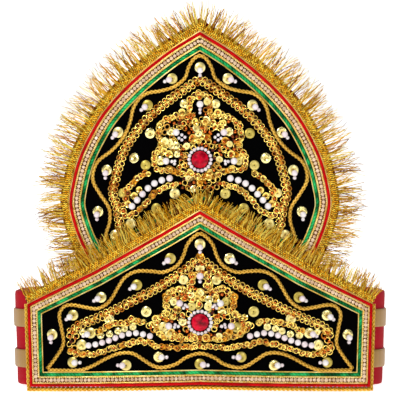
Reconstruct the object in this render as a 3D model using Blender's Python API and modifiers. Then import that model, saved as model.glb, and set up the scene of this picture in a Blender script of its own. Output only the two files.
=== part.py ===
"""Velvet crown: two stiff velvet panels on a red cloth head band, with beaded and corded embroidery.

The crown stands on its rim, +Z up, seen from -Y, with +X to the right. Sizes are in millimetres
and turn into metres where a mesh is made. The panels and all that is sewn on them are drawn flat,
u across and v up, and bend() wraps them round the brow: w is the height over the front panel's face.
"""
import math
import random

import bmesh
import bpy
from mathutils import Matrix, Vector

MM = 0.001
GAP = 0.3

BROW_RADIUS = 260.0
FACE_Y = -83.8
COLUMN_WIDTH = 13.0
OUTLINE_STEP = 12.0
KNOT_STEPS = 12

FRONT_THICKNESS = 2.5
FRONT_HALF_FOOT = 89.5
FRONT_HALF_TOP = 90.8
FRONT_FOOT = 2.6
FRONT_FOOT_RISE = 2.5
FRONT_SHOULDER = 45.4
FRONT_GABLE = (
    # half_width, height
    (54.5, 62.9), (18.5, 83.1), (0.0, 94.0),
)

BACK_THICKNESS = 2.2
BACK_W = -4.4
BACK_SLOPE = 0.56
BACK_TRIM_FOOT = 93.2
BACK_SEAM = 4.0
BACK_SIDE = (
    # half_width, height
    (0.0, 185.5),
    (17.6, 174.6),
    (36.0, 159.9),
    (49.8, 145.4),
    (58.4, 132.0),
    (64.4, 119.3),
    (67.8, 106.6),
    (69.0, 97.0),
    (66.8, 87.2),
    (63.0, 77.5),
    (58.0, 68.0),
    (53.5, 60.0),
    (48.8, 51.5),
)

PIPING_WIDTH, PIPING_HEIGHT = 1.5, 1.3
STONE_TRIM_WIDTHS = {"front": 3.6, "back": 4.0}
STONE_TRIM_HEIGHT = 1.1
GREEN_TRIM_WIDTH, GREEN_TRIM_HEIGHT = 2.1, 0.8

ROPE_RADIUS = 1.15
CORD_RADIUS = 1.15
CORD_ROUNDING = 1
ARCH_CHAIN_WIDTH, FIGURE_WIDTH, FLOWER_WIDTH = 5.3, 3.8, 3.4
CHAIN_HEIGHT = 1.5

FRONT_WAVE_UPPER = (
    # u, v
    (79.6, 13.0), (74.6, 18.8), (70.8, 25.5), (71.7, 33.0), (73.0, 40.3), (70.3, 44.4), (65.6, 45.3),
    (58.9, 44.4), (52.9, 43.8), (48.2, 46.0), (45.0, 49.6), (42.0, 54.8), (38.3, 60.0), (32.4, 63.1),
    (24.6, 63.2), (18.6, 62.8), (12.0, 65.9), (8.6, 71.0), (6.6, 76.6), (3.4, 80.6), (0.0, 82.4),
)
FRONT_WAVE_LOWER = (
    # u, v
    (75.5, 12.6), (62.5, 12.7), (55.4, 14.4), (48.4, 18.2), (41.4, 21.0), (34.5, 21.1), (29.0, 18.0),
    (24.2, 15.0), (19.3, 14.0), (12.5, 15.7), (7.1, 19.2), (0.0, 21.3),
)
BACK_WAVE = (
    # u, v
    (50.0, 77.6), (48.9, 83.0), (47.3, 88.5), (47.7, 95.3), (52.3, 102.5), (55.8, 108.4), (55.9, 113.8),
    (53.2, 119.3), (46.6, 124.8), (41.8, 129.8), (38.6, 134.6), (36.3, 140.4), (34.5, 146.2), (31.2, 151.2),
    (26.8, 153.8), (20.8, 155.6), (13.4, 157.6), (7.9, 161.8), (6.0, 167.2), (3.2, 171.6), (0.0, 173.2),
)
FRONT_ARCH = (
    # u, v
    (67.6, 30.6), (62.5, 35.0), (55.6, 37.9), (45.0, 42.6), (34.6, 47.9), (24.3, 53.3), (14.0, 59.4),
    (7.0, 64.3), (3.4, 67.4), (0.0, 69.0),
)
BACK_ARCH = (
    # u, v
    (41.0, 83.0), (42.6, 90.6), (43.2, 96.0), (45.6, 102.6), (44.4, 109.2), (42.4, 117.0), (39.6, 124.6),
    (36.2, 130.3), (32.2, 135.6), (27.6, 140.8), (21.4, 146.4), (14.7, 151.5), (8.1, 156.0), (2.9, 159.6),
    (0.0, 160.6),
)
FRONT_LOWER_CHAIN = (
    # u, v
    (68.3, 23.3), (62.5, 20.7), (55.4, 20.5), (47.0, 23.0), (37.9, 25.9), (31.0, 27.3), (24.2, 25.6),
    (13.9, 24.5), (0.0, 24.8),
)
FRONT_CRESCENT = (
    # u, v
    (52.6, 31.8), (44.9, 36.0), (37.9, 37.1), (34.5, 38.0), (27.4, 36.4),
)
BACK_UPPER_CRESCENT = (
    # u, v
    (39.0, 104.6), (35.9, 107.0), (34.1, 109.1), (32.0, 111.2), (29.0, 112.6), (25.9, 113.2),
)
BACK_LOWER_CRESCENT = (
    # u, v
    (38.6, 91.0), (36.0, 91.2), (33.5, 92.6), (30.8, 94.8), (28.1, 97.2), (26.3, 99.9), (23.8, 102.2),
    (21.4, 104.0), (19.0, 105.4), (16.6, 106.3), (13.6, 106.9), (10.7, 107.5),
)
FRONT_FLOWER = (
    # u, v
    (0.0, 63.1), (3.3, 60.4), (4.6, 57.0), (6.4, 52.8), (11.5, 54.6), (16.6, 51.0), (17.0, 45.2),
    (16.2, 41.6), (20.6, 39.4), (22.4, 34.8), (19.4, 30.4), (13.0, 29.0), (6.5, 28.7), (0.0, 28.6),
)
BACK_FLOWER = (
    # u, v
    (0.0, 154.3), (5.0, 151.2), (5.6, 146.0), (5.8, 141.6), (10.4, 143.0), (15.8, 141.6), (21.0, 137.0),
    (20.8, 131.2), (18.2, 127.2), (22.6, 124.0), (23.9, 119.0), (21.6, 114.8), (15.4, 115.0), (9.5, 112.6),
    (0.0, 111.4),
)

PEARL_RADIUS = 1.65
THREAD_SHARE = 0.32
PEARL_SHOULDER = 0.55
PEARL_SHOULDER_SHARE = 0.94
PEARL_ROUNDING = 3
PEARL_PATH_STEP = 0.5
FRONT_PEARLS = 10
FRONT_PEARL_PATH = (
    # u, v
    (25.4, 30.1), (29.5, 31.1), (33.5, 31.6), (39.5, 30.4), (46.5, 27.6), (53.9, 25.4), (57.2, 24.9),
)
BACK_PEARLS = 7
BACK_PEARL_PATH = (
    # u, v
    (15.7, 110.6), (19.5, 109.7), (23.5, 108.0), (26.6, 105.8), (29.9, 102.4), (33.0, 99.0), (35.3, 96.3),
)

RUBY_RADIUS = 4.4
RUBY_SIDES = 12
RUBY_PROFILE = (
    # radius as a share of the girdle's, height
    (0.0, 3.5), (0.58, 3.5), (1.0, 1.9), (1.0, 1.4), (0.7, 0.0), (0.0, 0.0),
)
RUBY_RING_RADIUS = 5.65
RUBY_RING_SIDES = 16
SEED_PEARL_RADIUS = 0.9
SEED_PEARL_SIDES = 6
FRONT_RUBY = (0.0, 37.1)
BACK_RUBY = (0.0, 120.2)

BUTTON_SIDES = 10
BUTTON_PROFILE = (
    # radius, height: the pearl's dome on the flat sequin
    (0.0, 3.6), (1.3, 3.2), (1.6, 1.9), (2.75, 0.7), (2.75, 0.0), (0.0, 0.0),
)
FRONT_BUTTONS = (
    # u, v
    (0.0, 76.6), (15.1, 69.7), (32.3, 56.1), (50.9, 49.6), (65.8, 40.2), (77.1, 30.0),
)
BACK_BUTTONS = (
    # u, v
    (0.0, 167.2), (14.7, 161.9), (28.0, 148.4), (43.5, 134.5), (49.0, 114.7), (53.6, 93.4),
)

HEADING_GAP = 0.6
HEADING_WIDTH = 3.6
FRINGE_THICKNESS = 2.0
FRINGE_FACE = 0.4
LOCK_TIP_SHARE = 0.5
LOCK_JITTER = 0.8
LOCK_FAN = 0.35
LOCK_FAN_POWER = 3
LOCK_DROOP = -0.05
LOCK_FULL_LENGTH_SHARE = 0.5
FRONT_LOCK_STEP, FRONT_LOCK_APEX, FRONT_LOCK_SIDE = 7.9, 8.0, 9.5
BACK_LOCK_STEP, BACK_LOCK_APEX, BACK_LOCK_SIDE = 8.4, 10.0, 14.8
FRINGE_SEED = 7

BAND_W = -2.8
BAND_THICKNESS = 2.3
BAND_HEIGHT = 49.0
BAND_HALF_WIDTH = 96.0
BAND_CORNER_RADIUS = 28.0
BAND_BACK_Y = 85.4
BAND_FLARE = 1.5
BAND_STEP = 13.0
RIM_LIFT_START_Y = 30.0
RIM_LIFT_SLOPE = 0.03
RIBBON_THICKNESS = 0.8
RIBBON_WIDTH = 9.3
RIBBON_FEET = {"band_ribbon_lower": 9.2, "band_ribbon_upper": 30.3}
RIBBON_START_DEGREES = 38.0

MATERIALS = {
    # name: (red, green, blue), roughness, metallic
    "black_velvet": ((0.006, 0.006, 0.008), 0.95, 0.0),
    "red_cloth": ((0.52, 0.008, 0.03), 0.8, 0.0),
    "tan_satin": ((0.52, 0.33, 0.13), 0.45, 0.1),
    "gold_zari": ((0.80, 0.48, 0.08), 0.38, 0.9),
    "red_piping": ((0.62, 0.01, 0.02), 0.5, 0.0),
    "galloon": ((0.80, 0.60, 0.30), 0.35, 0.7),
    "green_metallic": ((0.0, 0.22, 0.06), 0.35, 0.6),
    "gold_cord": ((0.75, 0.45, 0.09), 0.4, 0.85),
    "gold_sequin": ((0.86, 0.66, 0.20), 0.3, 0.8),
    "pearl": ((0.87, 0.80, 0.80), 0.25, 0.0),
    "ruby": ((0.55, 0.0, 0.04), 0.08, 0.0),
}


def bend(u, v, w):
    """Wrap a flat place on the panels round the brow, in metres."""
    angle = u / BROW_RADIUS
    radius = BROW_RADIUS + w
    x = radius * math.sin(angle)
    y = FACE_Y + BROW_RADIUS - radius * math.cos(angle)
    return Vector((x, y, v)) * MM


def seat(u, v, w):
    """The frame of a small round piece on the panels, its own +Z standing off the face."""
    turn = Matrix.Rotation(u / BROW_RADIUS, 4, "Z") @ Matrix.Rotation(math.pi / 2.0, 4, "X")
    return Matrix.Translation(bend(u, v, w)) @ turn


def smooth_path(points, step):
    """A Catmull-Rom curve through the points, read off at even steps near the given length."""
    knots = [Vector(point) for point in points]
    knots = [2.0 * knots[0] - knots[1]] + knots + [2.0 * knots[-1] - knots[-2]]
    fine = []
    for a, b, c, d in zip(knots, knots[1:], knots[2:], knots[3:]):
        for k in range(KNOT_STEPS):
            t = k / KNOT_STEPS
            fine.append(0.5 * (2.0 * b + (c - a) * t + (2.0 * a - 5.0 * b + 4.0 * c - d) * t ** 2
                               + (3.0 * b - a - 3.0 * c + d) * t ** 3))
    fine.append(knots[-2])
    return even_steps(fine, step)


def even_steps(points, step):
    """Places at even distances along a fine path, both ends kept."""
    reach = [0.0]
    for a, b in zip(points, points[1:]):
        reach.append(reach[-1] + (b - a).length)
    count = max(1, round(reach[-1] / step))
    places = []
    i = 0
    for k in range(count + 1):
        target = reach[-1] * k / count
        while i < len(points) - 2 and reach[i + 1] < target:
            i += 1
        share = (target - reach[i]) / (reach[i + 1] - reach[i])
        places.append(points[i].lerp(points[i + 1], share))
    return places


def mirrored(half):
    """A half path that ends on the middle line, continued on the other side."""
    return [Vector(p) for p in half] + [Vector((-p[0], p[1])) for p in reversed(half[:-1])]


def split_edges(corners, step):
    """An open path with long straight edges split, corners kept."""
    path = []
    for a, b in zip(corners, corners[1:]):
        count = math.ceil((b - a).length / step)
        path.extend(a.lerp(b, k / count) for k in range(count))
    return path + [corners[-1]]


def mitre(before, at, after, distance):
    """Shift a corner to the left of its path, so that both edges move by the distance."""
    first = (at - before).normalized()
    second = (after - at).normalized()
    normal = Vector((-first.y - second.y, first.x + second.x)).normalized()
    return at + normal * (distance / normal.dot(Vector((-first.y, first.x))))


def inset(outline, distance):
    """A closed anticlockwise outline moved inwards by the distance."""
    return [mitre(a, b, c, distance)
            for a, b, c in zip(outline[-1:] + outline[:-1], outline, outline[1:] + outline[:1])]


def offset_path(path, distance):
    """An open path moved to its left by the distance."""
    knots = [2.0 * path[0] - path[1]] + path + [2.0 * path[-1] - path[-2]]
    return [mitre(a, b, c, distance) for a, b, c in zip(knots, knots[1:], knots[2:])]


def front_sides():
    """The front panel's corners below its gable, from its left shoulder round the foot to the right one."""
    return [
        Vector((-FRONT_HALF_TOP, FRONT_SHOULDER)),
        Vector((-FRONT_HALF_FOOT, FRONT_FOOT)),
        Vector((0.0, FRONT_FOOT + FRONT_FOOT_RISE)),
        Vector((FRONT_HALF_FOOT, FRONT_FOOT)),
        Vector((FRONT_HALF_TOP, FRONT_SHOULDER)),
    ]


def front_outline():
    """The front panel: a gable on a foot that rises a little to the middle, anticlockwise."""
    corners = front_sides() + mirrored(FRONT_GABLE)
    return split_edges(corners + corners[:1], COLUMN_WIDTH)[:-1]


def back_side(foot):
    """The back panel's right side, from its apex down to a straight foot rising to the middle."""
    side = []
    for point in smooth_path(BACK_SIDE, OUTLINE_STEP):
        height_over_foot = point.y - (foot - BACK_SLOPE * point.x)
        if height_over_foot < 0.0:
            last = side[-1]
            last_over_foot = last.y - (foot - BACK_SLOPE * last.x)
            side.append(last.lerp(point, last_over_foot / (last_over_foot - height_over_foot)))
            break
        side.append(point)
    return side


def back_outline(foot):
    """The back panel: a pointed arch on a foot that rises to the middle, anticlockwise."""
    side = back_side(foot)
    middle = Vector((0.0, foot))
    count = math.ceil((side[-1] - middle).length / COLUMN_WIDTH)
    right_foot = [middle.lerp(side[-1], k / count) for k in range(count)]
    right = right_foot + side[::-1]
    left = [Vector((-p.x, p.y)) for p in reversed(right[1:-1])]
    return right + left


def material(name):
    """The named material, made the first time that it is asked for."""
    found = bpy.data.materials.get(name)
    if found:
        return found
    color, roughness, metallic = MATERIALS[name]
    made = bpy.data.materials.new(name)
    made.use_nodes = True
    shader = made.node_tree.nodes["Principled BSDF"]
    shader.inputs["Base Color"].default_value = (*color, 1.0)
    shader.inputs["Roughness"].default_value = roughness
    shader.inputs["Metallic"].default_value = metallic
    return made


def add_object(name, data, material_name):
    """Put mesh or curve data in the crown's collection under its node's name."""
    data.materials.append(material(material_name))
    made = bpy.data.objects.new(name, data)
    bpy.data.collections["velvet_crown"].objects.link(made)
    return made


def add_sheet(name, mesh, material_name, thickness):
    """An open mesh, thickened behind its face by Solidify."""
    shell = add_object(name, mesh, material_name).modifiers.new("thickness", "SOLIDIFY")
    shell.thickness = thickness * MM
    shell.offset = -1.0


def add_surface(name, vertices, faces, material_name, thickness):
    """A sheet from its face's vertices in metres."""
    mesh = bpy.data.meshes.new(name)
    mesh.from_pydata([tuple(v) for v in vertices], [], faces)
    add_sheet(name, mesh, material_name, thickness)


def add_strip(name, low, high, w, material_name, thickness, closed=False):
    """A flat strip between two paths of the panels, low to the right of high; w is its face's height."""
    count = len(low)
    vertices = [bend(p.x, p.y, w) for p in low] + [bend(p.x, p.y, w) for p in high]
    last = count if closed else count - 1
    faces = [(k, (k + 1) % count, count + (k + 1) % count, count + k) for k in range(last)]
    add_surface(name, vertices, faces, material_name, thickness)


def add_board(name, outline, w, thickness):
    """A stiff panel: its flat outline cut into upright columns, bent, then thickened."""
    drawn = bmesh.new()
    drawn.faces.new([drawn.verts.new((p.x, p.y, 0.0)) for p in outline])
    reach = max(p.x for p in outline)
    columns = math.floor(reach / COLUMN_WIDTH)
    for k in range(-columns, columns + 1):
        geometry = drawn.verts[:] + drawn.edges[:] + drawn.faces[:]
        place = (k * COLUMN_WIDTH, 0.0, 0.0)
        bmesh.ops.bisect_plane(drawn, geom=geometry, plane_co=place, plane_no=(1.0, 0.0, 0.0))
    for vertex in drawn.verts:
        vertex.co = bend(vertex.co.x, vertex.co.y, w)
    mesh = bpy.data.meshes.new(name)
    drawn.to_mesh(mesh)
    drawn.free()
    add_sheet(name, mesh, "black_velvet", thickness)


def add_border(prefix, outline, face_w):
    """Three trims laid one inside the next along the panel's outline."""
    depth = 0.0
    trims = (
        ("red_piping", "red_piping", PIPING_WIDTH, PIPING_HEIGHT),
        ("stone_trim", "galloon", STONE_TRIM_WIDTHS[prefix], STONE_TRIM_HEIGHT),
        ("green_trim", "green_metallic", GREEN_TRIM_WIDTH, GREEN_TRIM_HEIGHT),
    )
    for trim, material_name, width, height in trims:
        outer = inset(outline, depth)
        inner = inset(outline, depth + width)
        add_strip(f"{prefix}_{trim}", outer, inner, face_w + GAP + height, material_name, height, closed=True)
        depth += width + GAP


def add_chain(name, points, width, face_w):
    """A row of ring sequins as a flat band along its path."""
    path = [Vector(point) for point in points]
    right = offset_path(path, -width / 2.0)
    left = offset_path(path, width / 2.0)
    add_strip(name, right, left, face_w + GAP + CHAIN_HEIGHT, "gold_sequin", CHAIN_HEIGHT)


def add_flower(name, half, face_w):
    """The ring sequins round the petals: a closed scalloped band, from its top down the right side."""
    right = [Vector(point) for point in half]
    left = [Vector((-p.x, p.y)) for p in reversed(right[1:-1])]
    loop = (right + left)[::-1]
    outer = inset(loop, -FLOWER_WIDTH / 2.0)
    inner = inset(loop, FLOWER_WIDTH / 2.0)
    add_strip(name, outer, inner, face_w + GAP + CHAIN_HEIGHT, "gold_sequin", CHAIN_HEIGHT, closed=True)


def add_cord(name, places, radius, material_name, rounding, shares=None):
    """A round cord through places in metres; shares scale its radius from place to place."""
    curve = bpy.data.curves.new(name, "CURVE")
    curve.dimensions = "3D"
    curve.bevel_depth = radius * MM
    curve.bevel_resolution = rounding
    curve.use_fill_caps = True
    spline = curve.splines.new("POLY")
    spline.points.add(len(places) - 1)
    for k, place in enumerate(places):
        spline.points[k].co = (*place, 1.0)
        spline.points[k].radius = shares[k] if shares else 1.0
    add_object(name, curve, material_name)


def add_wave(name, half, face_w):
    """Gold cord stitched down along a wave that mirrors at the middle line."""
    places = [bend(p.x, p.y, face_w + GAP + CORD_RADIUS) for p in mirrored(half)]
    add_cord(name, places, CORD_RADIUS, "gold_cord", CORD_ROUNDING)


def add_pearl_string(name, points, count, face_w, side):
    """A string of touching pearls on its thread, as one turned body that follows the path."""
    fine = smooth_path(points, PEARL_PATH_STEP)
    centres = even_steps(fine, sum((b - a).length for a, b in zip(fine, fine[1:])) / (count - 1))
    places = []
    shares = []
    for k, centre in enumerate(centres):
        ahead = (centres[min(k + 1, count - 1)] - centres[max(k - 1, 0)]).normalized()
        reach = ahead * PEARL_RADIUS
        if k == 0:
            places.append(centre - reach)
            shares.append(THREAD_SHARE)
        places.extend((centre - reach * PEARL_SHOULDER, centre + reach * PEARL_SHOULDER))
        shares.extend((PEARL_SHOULDER_SHARE, PEARL_SHOULDER_SHARE))
        places.append(centre + reach if k == count - 1 else centre.lerp(centres[k + 1], 0.5))
        shares.append(THREAD_SHARE)
    bent = [bend(side * p.x, p.y, face_w + GAP + PEARL_RADIUS) for p in places]
    add_cord(name, bent, PEARL_RADIUS, "pearl", PEARL_ROUNDING, shares)


def add_turned(name, profile, sides, place, material_name):
    """A piece turned about its own +Z from a profile of radius and height, top first."""
    mesh = bpy.data.meshes.new(name)
    vertices = [(radius * MM, 0.0, height * MM) for radius, height in profile]
    mesh.from_pydata(vertices, [(k, k + 1) for k in range(len(vertices) - 1)], [])
    made = add_object(name, mesh, material_name)
    turn = made.modifiers.new("turn", "SCREW")
    turn.steps = sides
    turn.render_steps = sides
    turn.use_merge_vertices = True
    turn.merge_threshold = 0.01 * MM
    made.matrix_world = place


def add_ruby(prefix, u, v, face_w):
    """A cut red stone with a flat table, in its ring of seed pearls."""
    profile = [(RUBY_RADIUS * share, height) for share, height in RUBY_PROFILE]
    add_turned(f"{prefix}_ruby", profile, RUBY_SIDES, seat(u, v, face_w + GAP), "ruby")
    bpy.ops.mesh.primitive_torus_add(
        major_segments=RUBY_RING_SIDES, minor_segments=SEED_PEARL_SIDES,
        major_radius=RUBY_RING_RADIUS * MM, minor_radius=SEED_PEARL_RADIUS * MM)
    ring = bpy.context.object
    mesh = ring.data
    bpy.data.objects.remove(ring)
    made = add_object(f"{prefix}_ruby_pearls", mesh, "pearl")
    made.matrix_world = seat(u, v, face_w + GAP + SEED_PEARL_RADIUS)


def add_buttons(prefix, places, face_w):
    """Large sequins with a pearl on each, one on the middle line and the rest in pairs."""
    seats = [places[0]] + [(side * u, v) for u, v in places[1:] for side in (-1.0, 1.0)]
    for number, (u, v) in enumerate(seats, start=1):
        place = seat(u, v, face_w + GAP)
        add_turned(f"{prefix}_button_{number}", BUTTON_PROFILE, BUTTON_SIDES, place, "gold_sequin")


def add_fringe(prefix, edge, face_w, apex_length, side_length, rng):
    """Two halves of a fringe on its braid heading, along an edge from right to left over the apex."""
    near = offset_path(edge, -HEADING_GAP)
    far = offset_path(edge, -HEADING_GAP - HEADING_WIDTH)
    middle = len(edge) // 2
    for side, span in ((1.0, range(0, middle + 1)), (-1.0, range(middle, len(edge)))):
        rows = []
        for k in span:
            rows.append([near[k].copy(), far[k].copy()])
            if k == middle:
                for point in rows[-1]:
                    point.x = side * GAP / 2.0
        flat = []
        faces = []
        for root, top in rows:
            flat.extend(((root, 0.0), (top, 0.0)))
        for k in range(len(rows) - 1):
            faces.append((2 * k, 2 * k + 1, 2 * k + 3, 2 * k + 2))
            (root_a, top_a), (root_b, top_b) = rows[k], rows[k + 1]
            share = abs((top_a.x + top_b.x) / 2.0) / max(abs(row[1].x) for row in rows)
            ahead = (top_a - root_a).normalized() + (top_b - root_b).normalized()
            ahead.x += side * LOCK_FAN * share ** LOCK_FAN_POWER
            ahead.y = max(ahead.y, LOCK_DROOP)
            ahead.normalize()
            lean = rng.uniform(-LOCK_JITTER, LOCK_JITTER)
            length = apex_length + (side_length - apex_length) * min(1.0, share / LOCK_FULL_LENGTH_SHARE)
            length += rng.uniform(-LOCK_JITTER, LOCK_JITTER)
            centre = (top_a + top_b) / 2.0 + ahead * length + (top_b - top_a).normalized() * lean
            half = (top_b - top_a) * LOCK_TIP_SHARE / 2.0
            first = len(flat)
            lift = rng.uniform(-LOCK_JITTER, LOCK_JITTER) / 2.0
            flat.extend(((centre - half, lift), (centre + half, lift)))
            faces.append((2 * k + 1, first, first + 1, 2 * k + 3))
        vertices = [bend(p.x, p.y, face_w + FRINGE_FACE + lift) for p, lift in flat]
        name = f"{prefix}_fringe_{'right' if side > 0 else 'left'}"
        add_surface(name, vertices, faces, "gold_zari", FRINGE_THICKNESS)


def add_front_rope():
    """Gold rope just outside the front panel's sides and foot."""
    path = offset_path(split_edges(front_sides(), COLUMN_WIDTH), -GAP - ROPE_RADIUS)
    places = [bend(p.x, p.y, -ROPE_RADIUS) for p in path]
    add_cord("front_edge_rope", places, ROPE_RADIUS, "gold_zari", CORD_ROUNDING)


def ring_half():
    """The band's outer plan on its right half: where the brow's turn ends, and rows of turn, x, y."""
    brow = BROW_RADIUS + BAND_W
    brow_y = FACE_Y + BROW_RADIUS
    corner_turn = math.asin((BAND_HALF_WIDTH - BAND_CORNER_RADIUS) / (brow - BAND_CORNER_RADIUS))
    corner_x = BAND_HALF_WIDTH - BAND_CORNER_RADIUS
    corner_y = brow_y - (brow - BAND_CORNER_RADIUS) * math.cos(corner_turn)
    arcs = (
        # first turn, last turn, centre x, centre y, radius
        (0.0, corner_turn, 0.0, brow_y, brow),
        (corner_turn, math.pi / 2.0, corner_x, corner_y, BAND_CORNER_RADIUS),
        (math.pi / 2.0, math.pi, 0.0, BAND_BACK_Y - BAND_HALF_WIDTH, BAND_HALF_WIDTH),
    )
    rows = []
    for first, last, x, y, radius in arcs:
        count = math.ceil((last - first) * max(radius, 2.0 * BAND_CORNER_RADIUS) / BAND_STEP)
        start = 0 if not rows or first == math.pi / 2.0 else 1
        for k in range(start, count + 1):
            turn = first + (last - first) * k / count
            rows.append((turn, x + radius * math.sin(turn), y - radius * math.cos(turn)))
    return corner_turn, rows


def band_place(row, corner_turn, height, out):
    """A place on the band in metres, from its height over the lower edge and how far it stands out."""
    turn, x, y = row
    flare_share = min(1.0, max(0.0, (turn - corner_turn) / (math.pi / 2.0 - corner_turn)))
    reach = out + BAND_FLARE * flare_share * height / BAND_HEIGHT
    lift = max(0.0, RIM_LIFT_START_Y - y) * RIM_LIFT_SLOPE
    return Vector((x + reach * math.sin(turn), y - reach * math.cos(turn), lift + height)) * MM


def band_rows(rows, corner_turn, corners):
    """Places on the band for each of the corners (height, out), from the first turn over the nape."""
    right = [[band_place(row, corner_turn, height, out) for height, out in corners] for row in rows]
    left = [[Vector((-p.x, p.y, p.z)) for p in places] for places in right]
    return right + left[::-1][1:]


def add_cloth_ring(rows, corner_turn):
    """The red cloth: both walls at each turn of a closed ring, whose edges lie level."""
    inside = -BAND_THICKNESS
    corners = ((0.0, 0.0), (BAND_HEIGHT, 0.0), (BAND_HEIGHT, inside), (0.0, inside))
    ring = band_rows(rows, corner_turn, corners)[:-1]
    sides = len(corners)
    faces = []
    for k in range(len(ring)):
        a, b = sides * k, sides * ((k + 1) % len(ring))
        for i in range(sides):
            j = (i + 1) % sides
            faces.append((a + i, b + i, b + j, a + j))
    mesh = bpy.data.meshes.new("head_band")
    mesh.from_pydata([tuple(place) for places in ring for place in places], [], faces)
    add_object("head_band", mesh, "red_cloth")


def add_band_ribbon(name, rows, corner_turn, foot):
    """A satin ribbon round the band from one end of its rows to the other."""
    out = GAP + RIBBON_THICKNESS
    strip = band_rows(rows, corner_turn, ((foot, out), (foot + RIBBON_WIDTH, out)))
    faces = [(2 * k, 2 * k + 2, 2 * k + 3, 2 * k + 1) for k in range(len(strip) - 1)]
    add_surface(name, [place for places in strip for place in places], faces, "tan_satin", RIBBON_THICKNESS)


def add_head_band():
    """The red cloth ring and its two satin ribbons, which end behind the front panel."""
    corner_turn, rows = ring_half()
    add_cloth_ring(rows, corner_turn)
    ribbon_rows = [row for row in rows if row[0] > math.radians(RIBBON_START_DEGREES)]
    for name, foot in RIBBON_FEET.items():
        add_band_ribbon(name, ribbon_rows, corner_turn, foot)


def add_front():
    """The front panel with its border, fringe and embroidery."""
    outline = front_outline()
    add_board("front_panel", outline, 0.0, FRONT_THICKNESS)
    add_border("front", outline, 0.0)
    add_front_rope()
    gable = front_sides()[-1:] + [Vector(row) for row in FRONT_GABLE]
    right = even_steps(gable, FRONT_LOCK_STEP)
    add_fringe("front", mirrored(right), 0.0, FRONT_LOCK_APEX, FRONT_LOCK_SIDE, random.Random(FRINGE_SEED))
    add_wave("front_wave_cord_upper", FRONT_WAVE_UPPER, 0.0)
    add_wave("front_wave_cord_lower", FRONT_WAVE_LOWER, 0.0)
    add_chain("front_arch_chain", mirrored(FRONT_ARCH), ARCH_CHAIN_WIDTH, 0.0)
    add_chain("front_lower_chain", mirrored(FRONT_LOWER_CHAIN), FIGURE_WIDTH, 0.0)
    add_flower("front_flower", FRONT_FLOWER, 0.0)
    for name, side in (("right", 1.0), ("left", -1.0)):
        crescent = [(side * u, v) for u, v in FRONT_CRESCENT]
        add_chain(f"front_crescent_{name}", crescent, FIGURE_WIDTH, 0.0)
        add_pearl_string(f"front_pearl_string_{name}", FRONT_PEARL_PATH, FRONT_PEARLS, 0.0, side)
    add_ruby("front", *FRONT_RUBY, 0.0)
    add_buttons("front", FRONT_BUTTONS, 0.0)


def add_back():
    """The back panel with its border, fringe and embroidery; its board reaches below the border."""
    outline = back_outline(BACK_TRIM_FOOT)
    add_board("back_panel", back_outline(BACK_TRIM_FOOT - BACK_SEAM), BACK_W, BACK_THICKNESS)
    add_border("back", outline, BACK_W)
    side = smooth_path(back_side(BACK_TRIM_FOOT)[::-1], BACK_LOCK_STEP)
    add_fringe("back", mirrored(side), BACK_W, BACK_LOCK_APEX, BACK_LOCK_SIDE, random.Random(FRINGE_SEED + 1))
    add_wave("back_wave_cord", BACK_WAVE, BACK_W)
    add_chain("back_arch_chain", mirrored(BACK_ARCH), ARCH_CHAIN_WIDTH, BACK_W)
    add_flower("back_flower", BACK_FLOWER, BACK_W)
    for name, side in (("right", 1.0), ("left", -1.0)):
        upper = [(side * u, v) for u, v in BACK_UPPER_CRESCENT]
        lower = [(side * u, v) for u, v in BACK_LOWER_CRESCENT]
        add_chain(f"back_upper_crescent_{name}", upper, FIGURE_WIDTH, BACK_W)
        add_chain(f"back_lower_crescent_{name}", lower, FIGURE_WIDTH, BACK_W)
        add_pearl_string(f"back_pearl_string_{name}", BACK_PEARL_PATH, BACK_PEARLS, BACK_W, side)
    add_ruby("back", *BACK_RUBY, BACK_W)
    add_buttons("back", BACK_BUTTONS, BACK_W)


def main():
    for old in list(bpy.data.objects):
        bpy.data.objects.remove(old)
    crown = bpy.data.collections.new("velvet_crown")
    bpy.context.scene.collection.children.link(crown)
    add_head_band()
    add_front()
    add_back()


main()
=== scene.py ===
"""Dresses the velvet crown: boards, border trims, cords, sequins, pearls, stones, fringe and head band.

Whatever is sewn on the two panels is worked out flat in millimetres, u across, v up and w over the front
panel's face. bend() wraps it round the brow and gives metres.
"""
from __future__ import annotations

import logging
import math
from dataclasses import dataclass, field
from enum import Enum
from typing import Any, Optional, Sequence, Union

import bpy
import numpy as np
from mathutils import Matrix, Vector

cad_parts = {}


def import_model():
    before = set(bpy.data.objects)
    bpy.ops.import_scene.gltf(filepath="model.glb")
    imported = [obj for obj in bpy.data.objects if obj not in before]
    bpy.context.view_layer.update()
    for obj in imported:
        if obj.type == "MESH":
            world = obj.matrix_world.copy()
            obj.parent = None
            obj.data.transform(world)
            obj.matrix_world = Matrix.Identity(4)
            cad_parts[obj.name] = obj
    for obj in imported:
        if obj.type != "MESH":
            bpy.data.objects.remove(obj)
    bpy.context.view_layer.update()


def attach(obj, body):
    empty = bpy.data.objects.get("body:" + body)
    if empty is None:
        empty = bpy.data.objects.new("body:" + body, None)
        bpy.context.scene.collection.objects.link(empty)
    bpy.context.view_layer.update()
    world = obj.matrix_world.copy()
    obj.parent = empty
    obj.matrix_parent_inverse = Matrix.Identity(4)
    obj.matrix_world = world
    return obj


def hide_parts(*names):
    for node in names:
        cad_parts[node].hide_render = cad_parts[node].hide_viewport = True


LOG = logging.getLogger("velvet_crown")
Array = np.ndarray
Colour = tuple[float, float, float]

MM = 0.001
FULL_TURN = 2.0 * math.pi
BROW_RADIUS = 260.0
FACE_Y = -83.8
FRONT_W = 0.0
BACK_W = -4.4
KNOT_STEPS = 12

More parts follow.
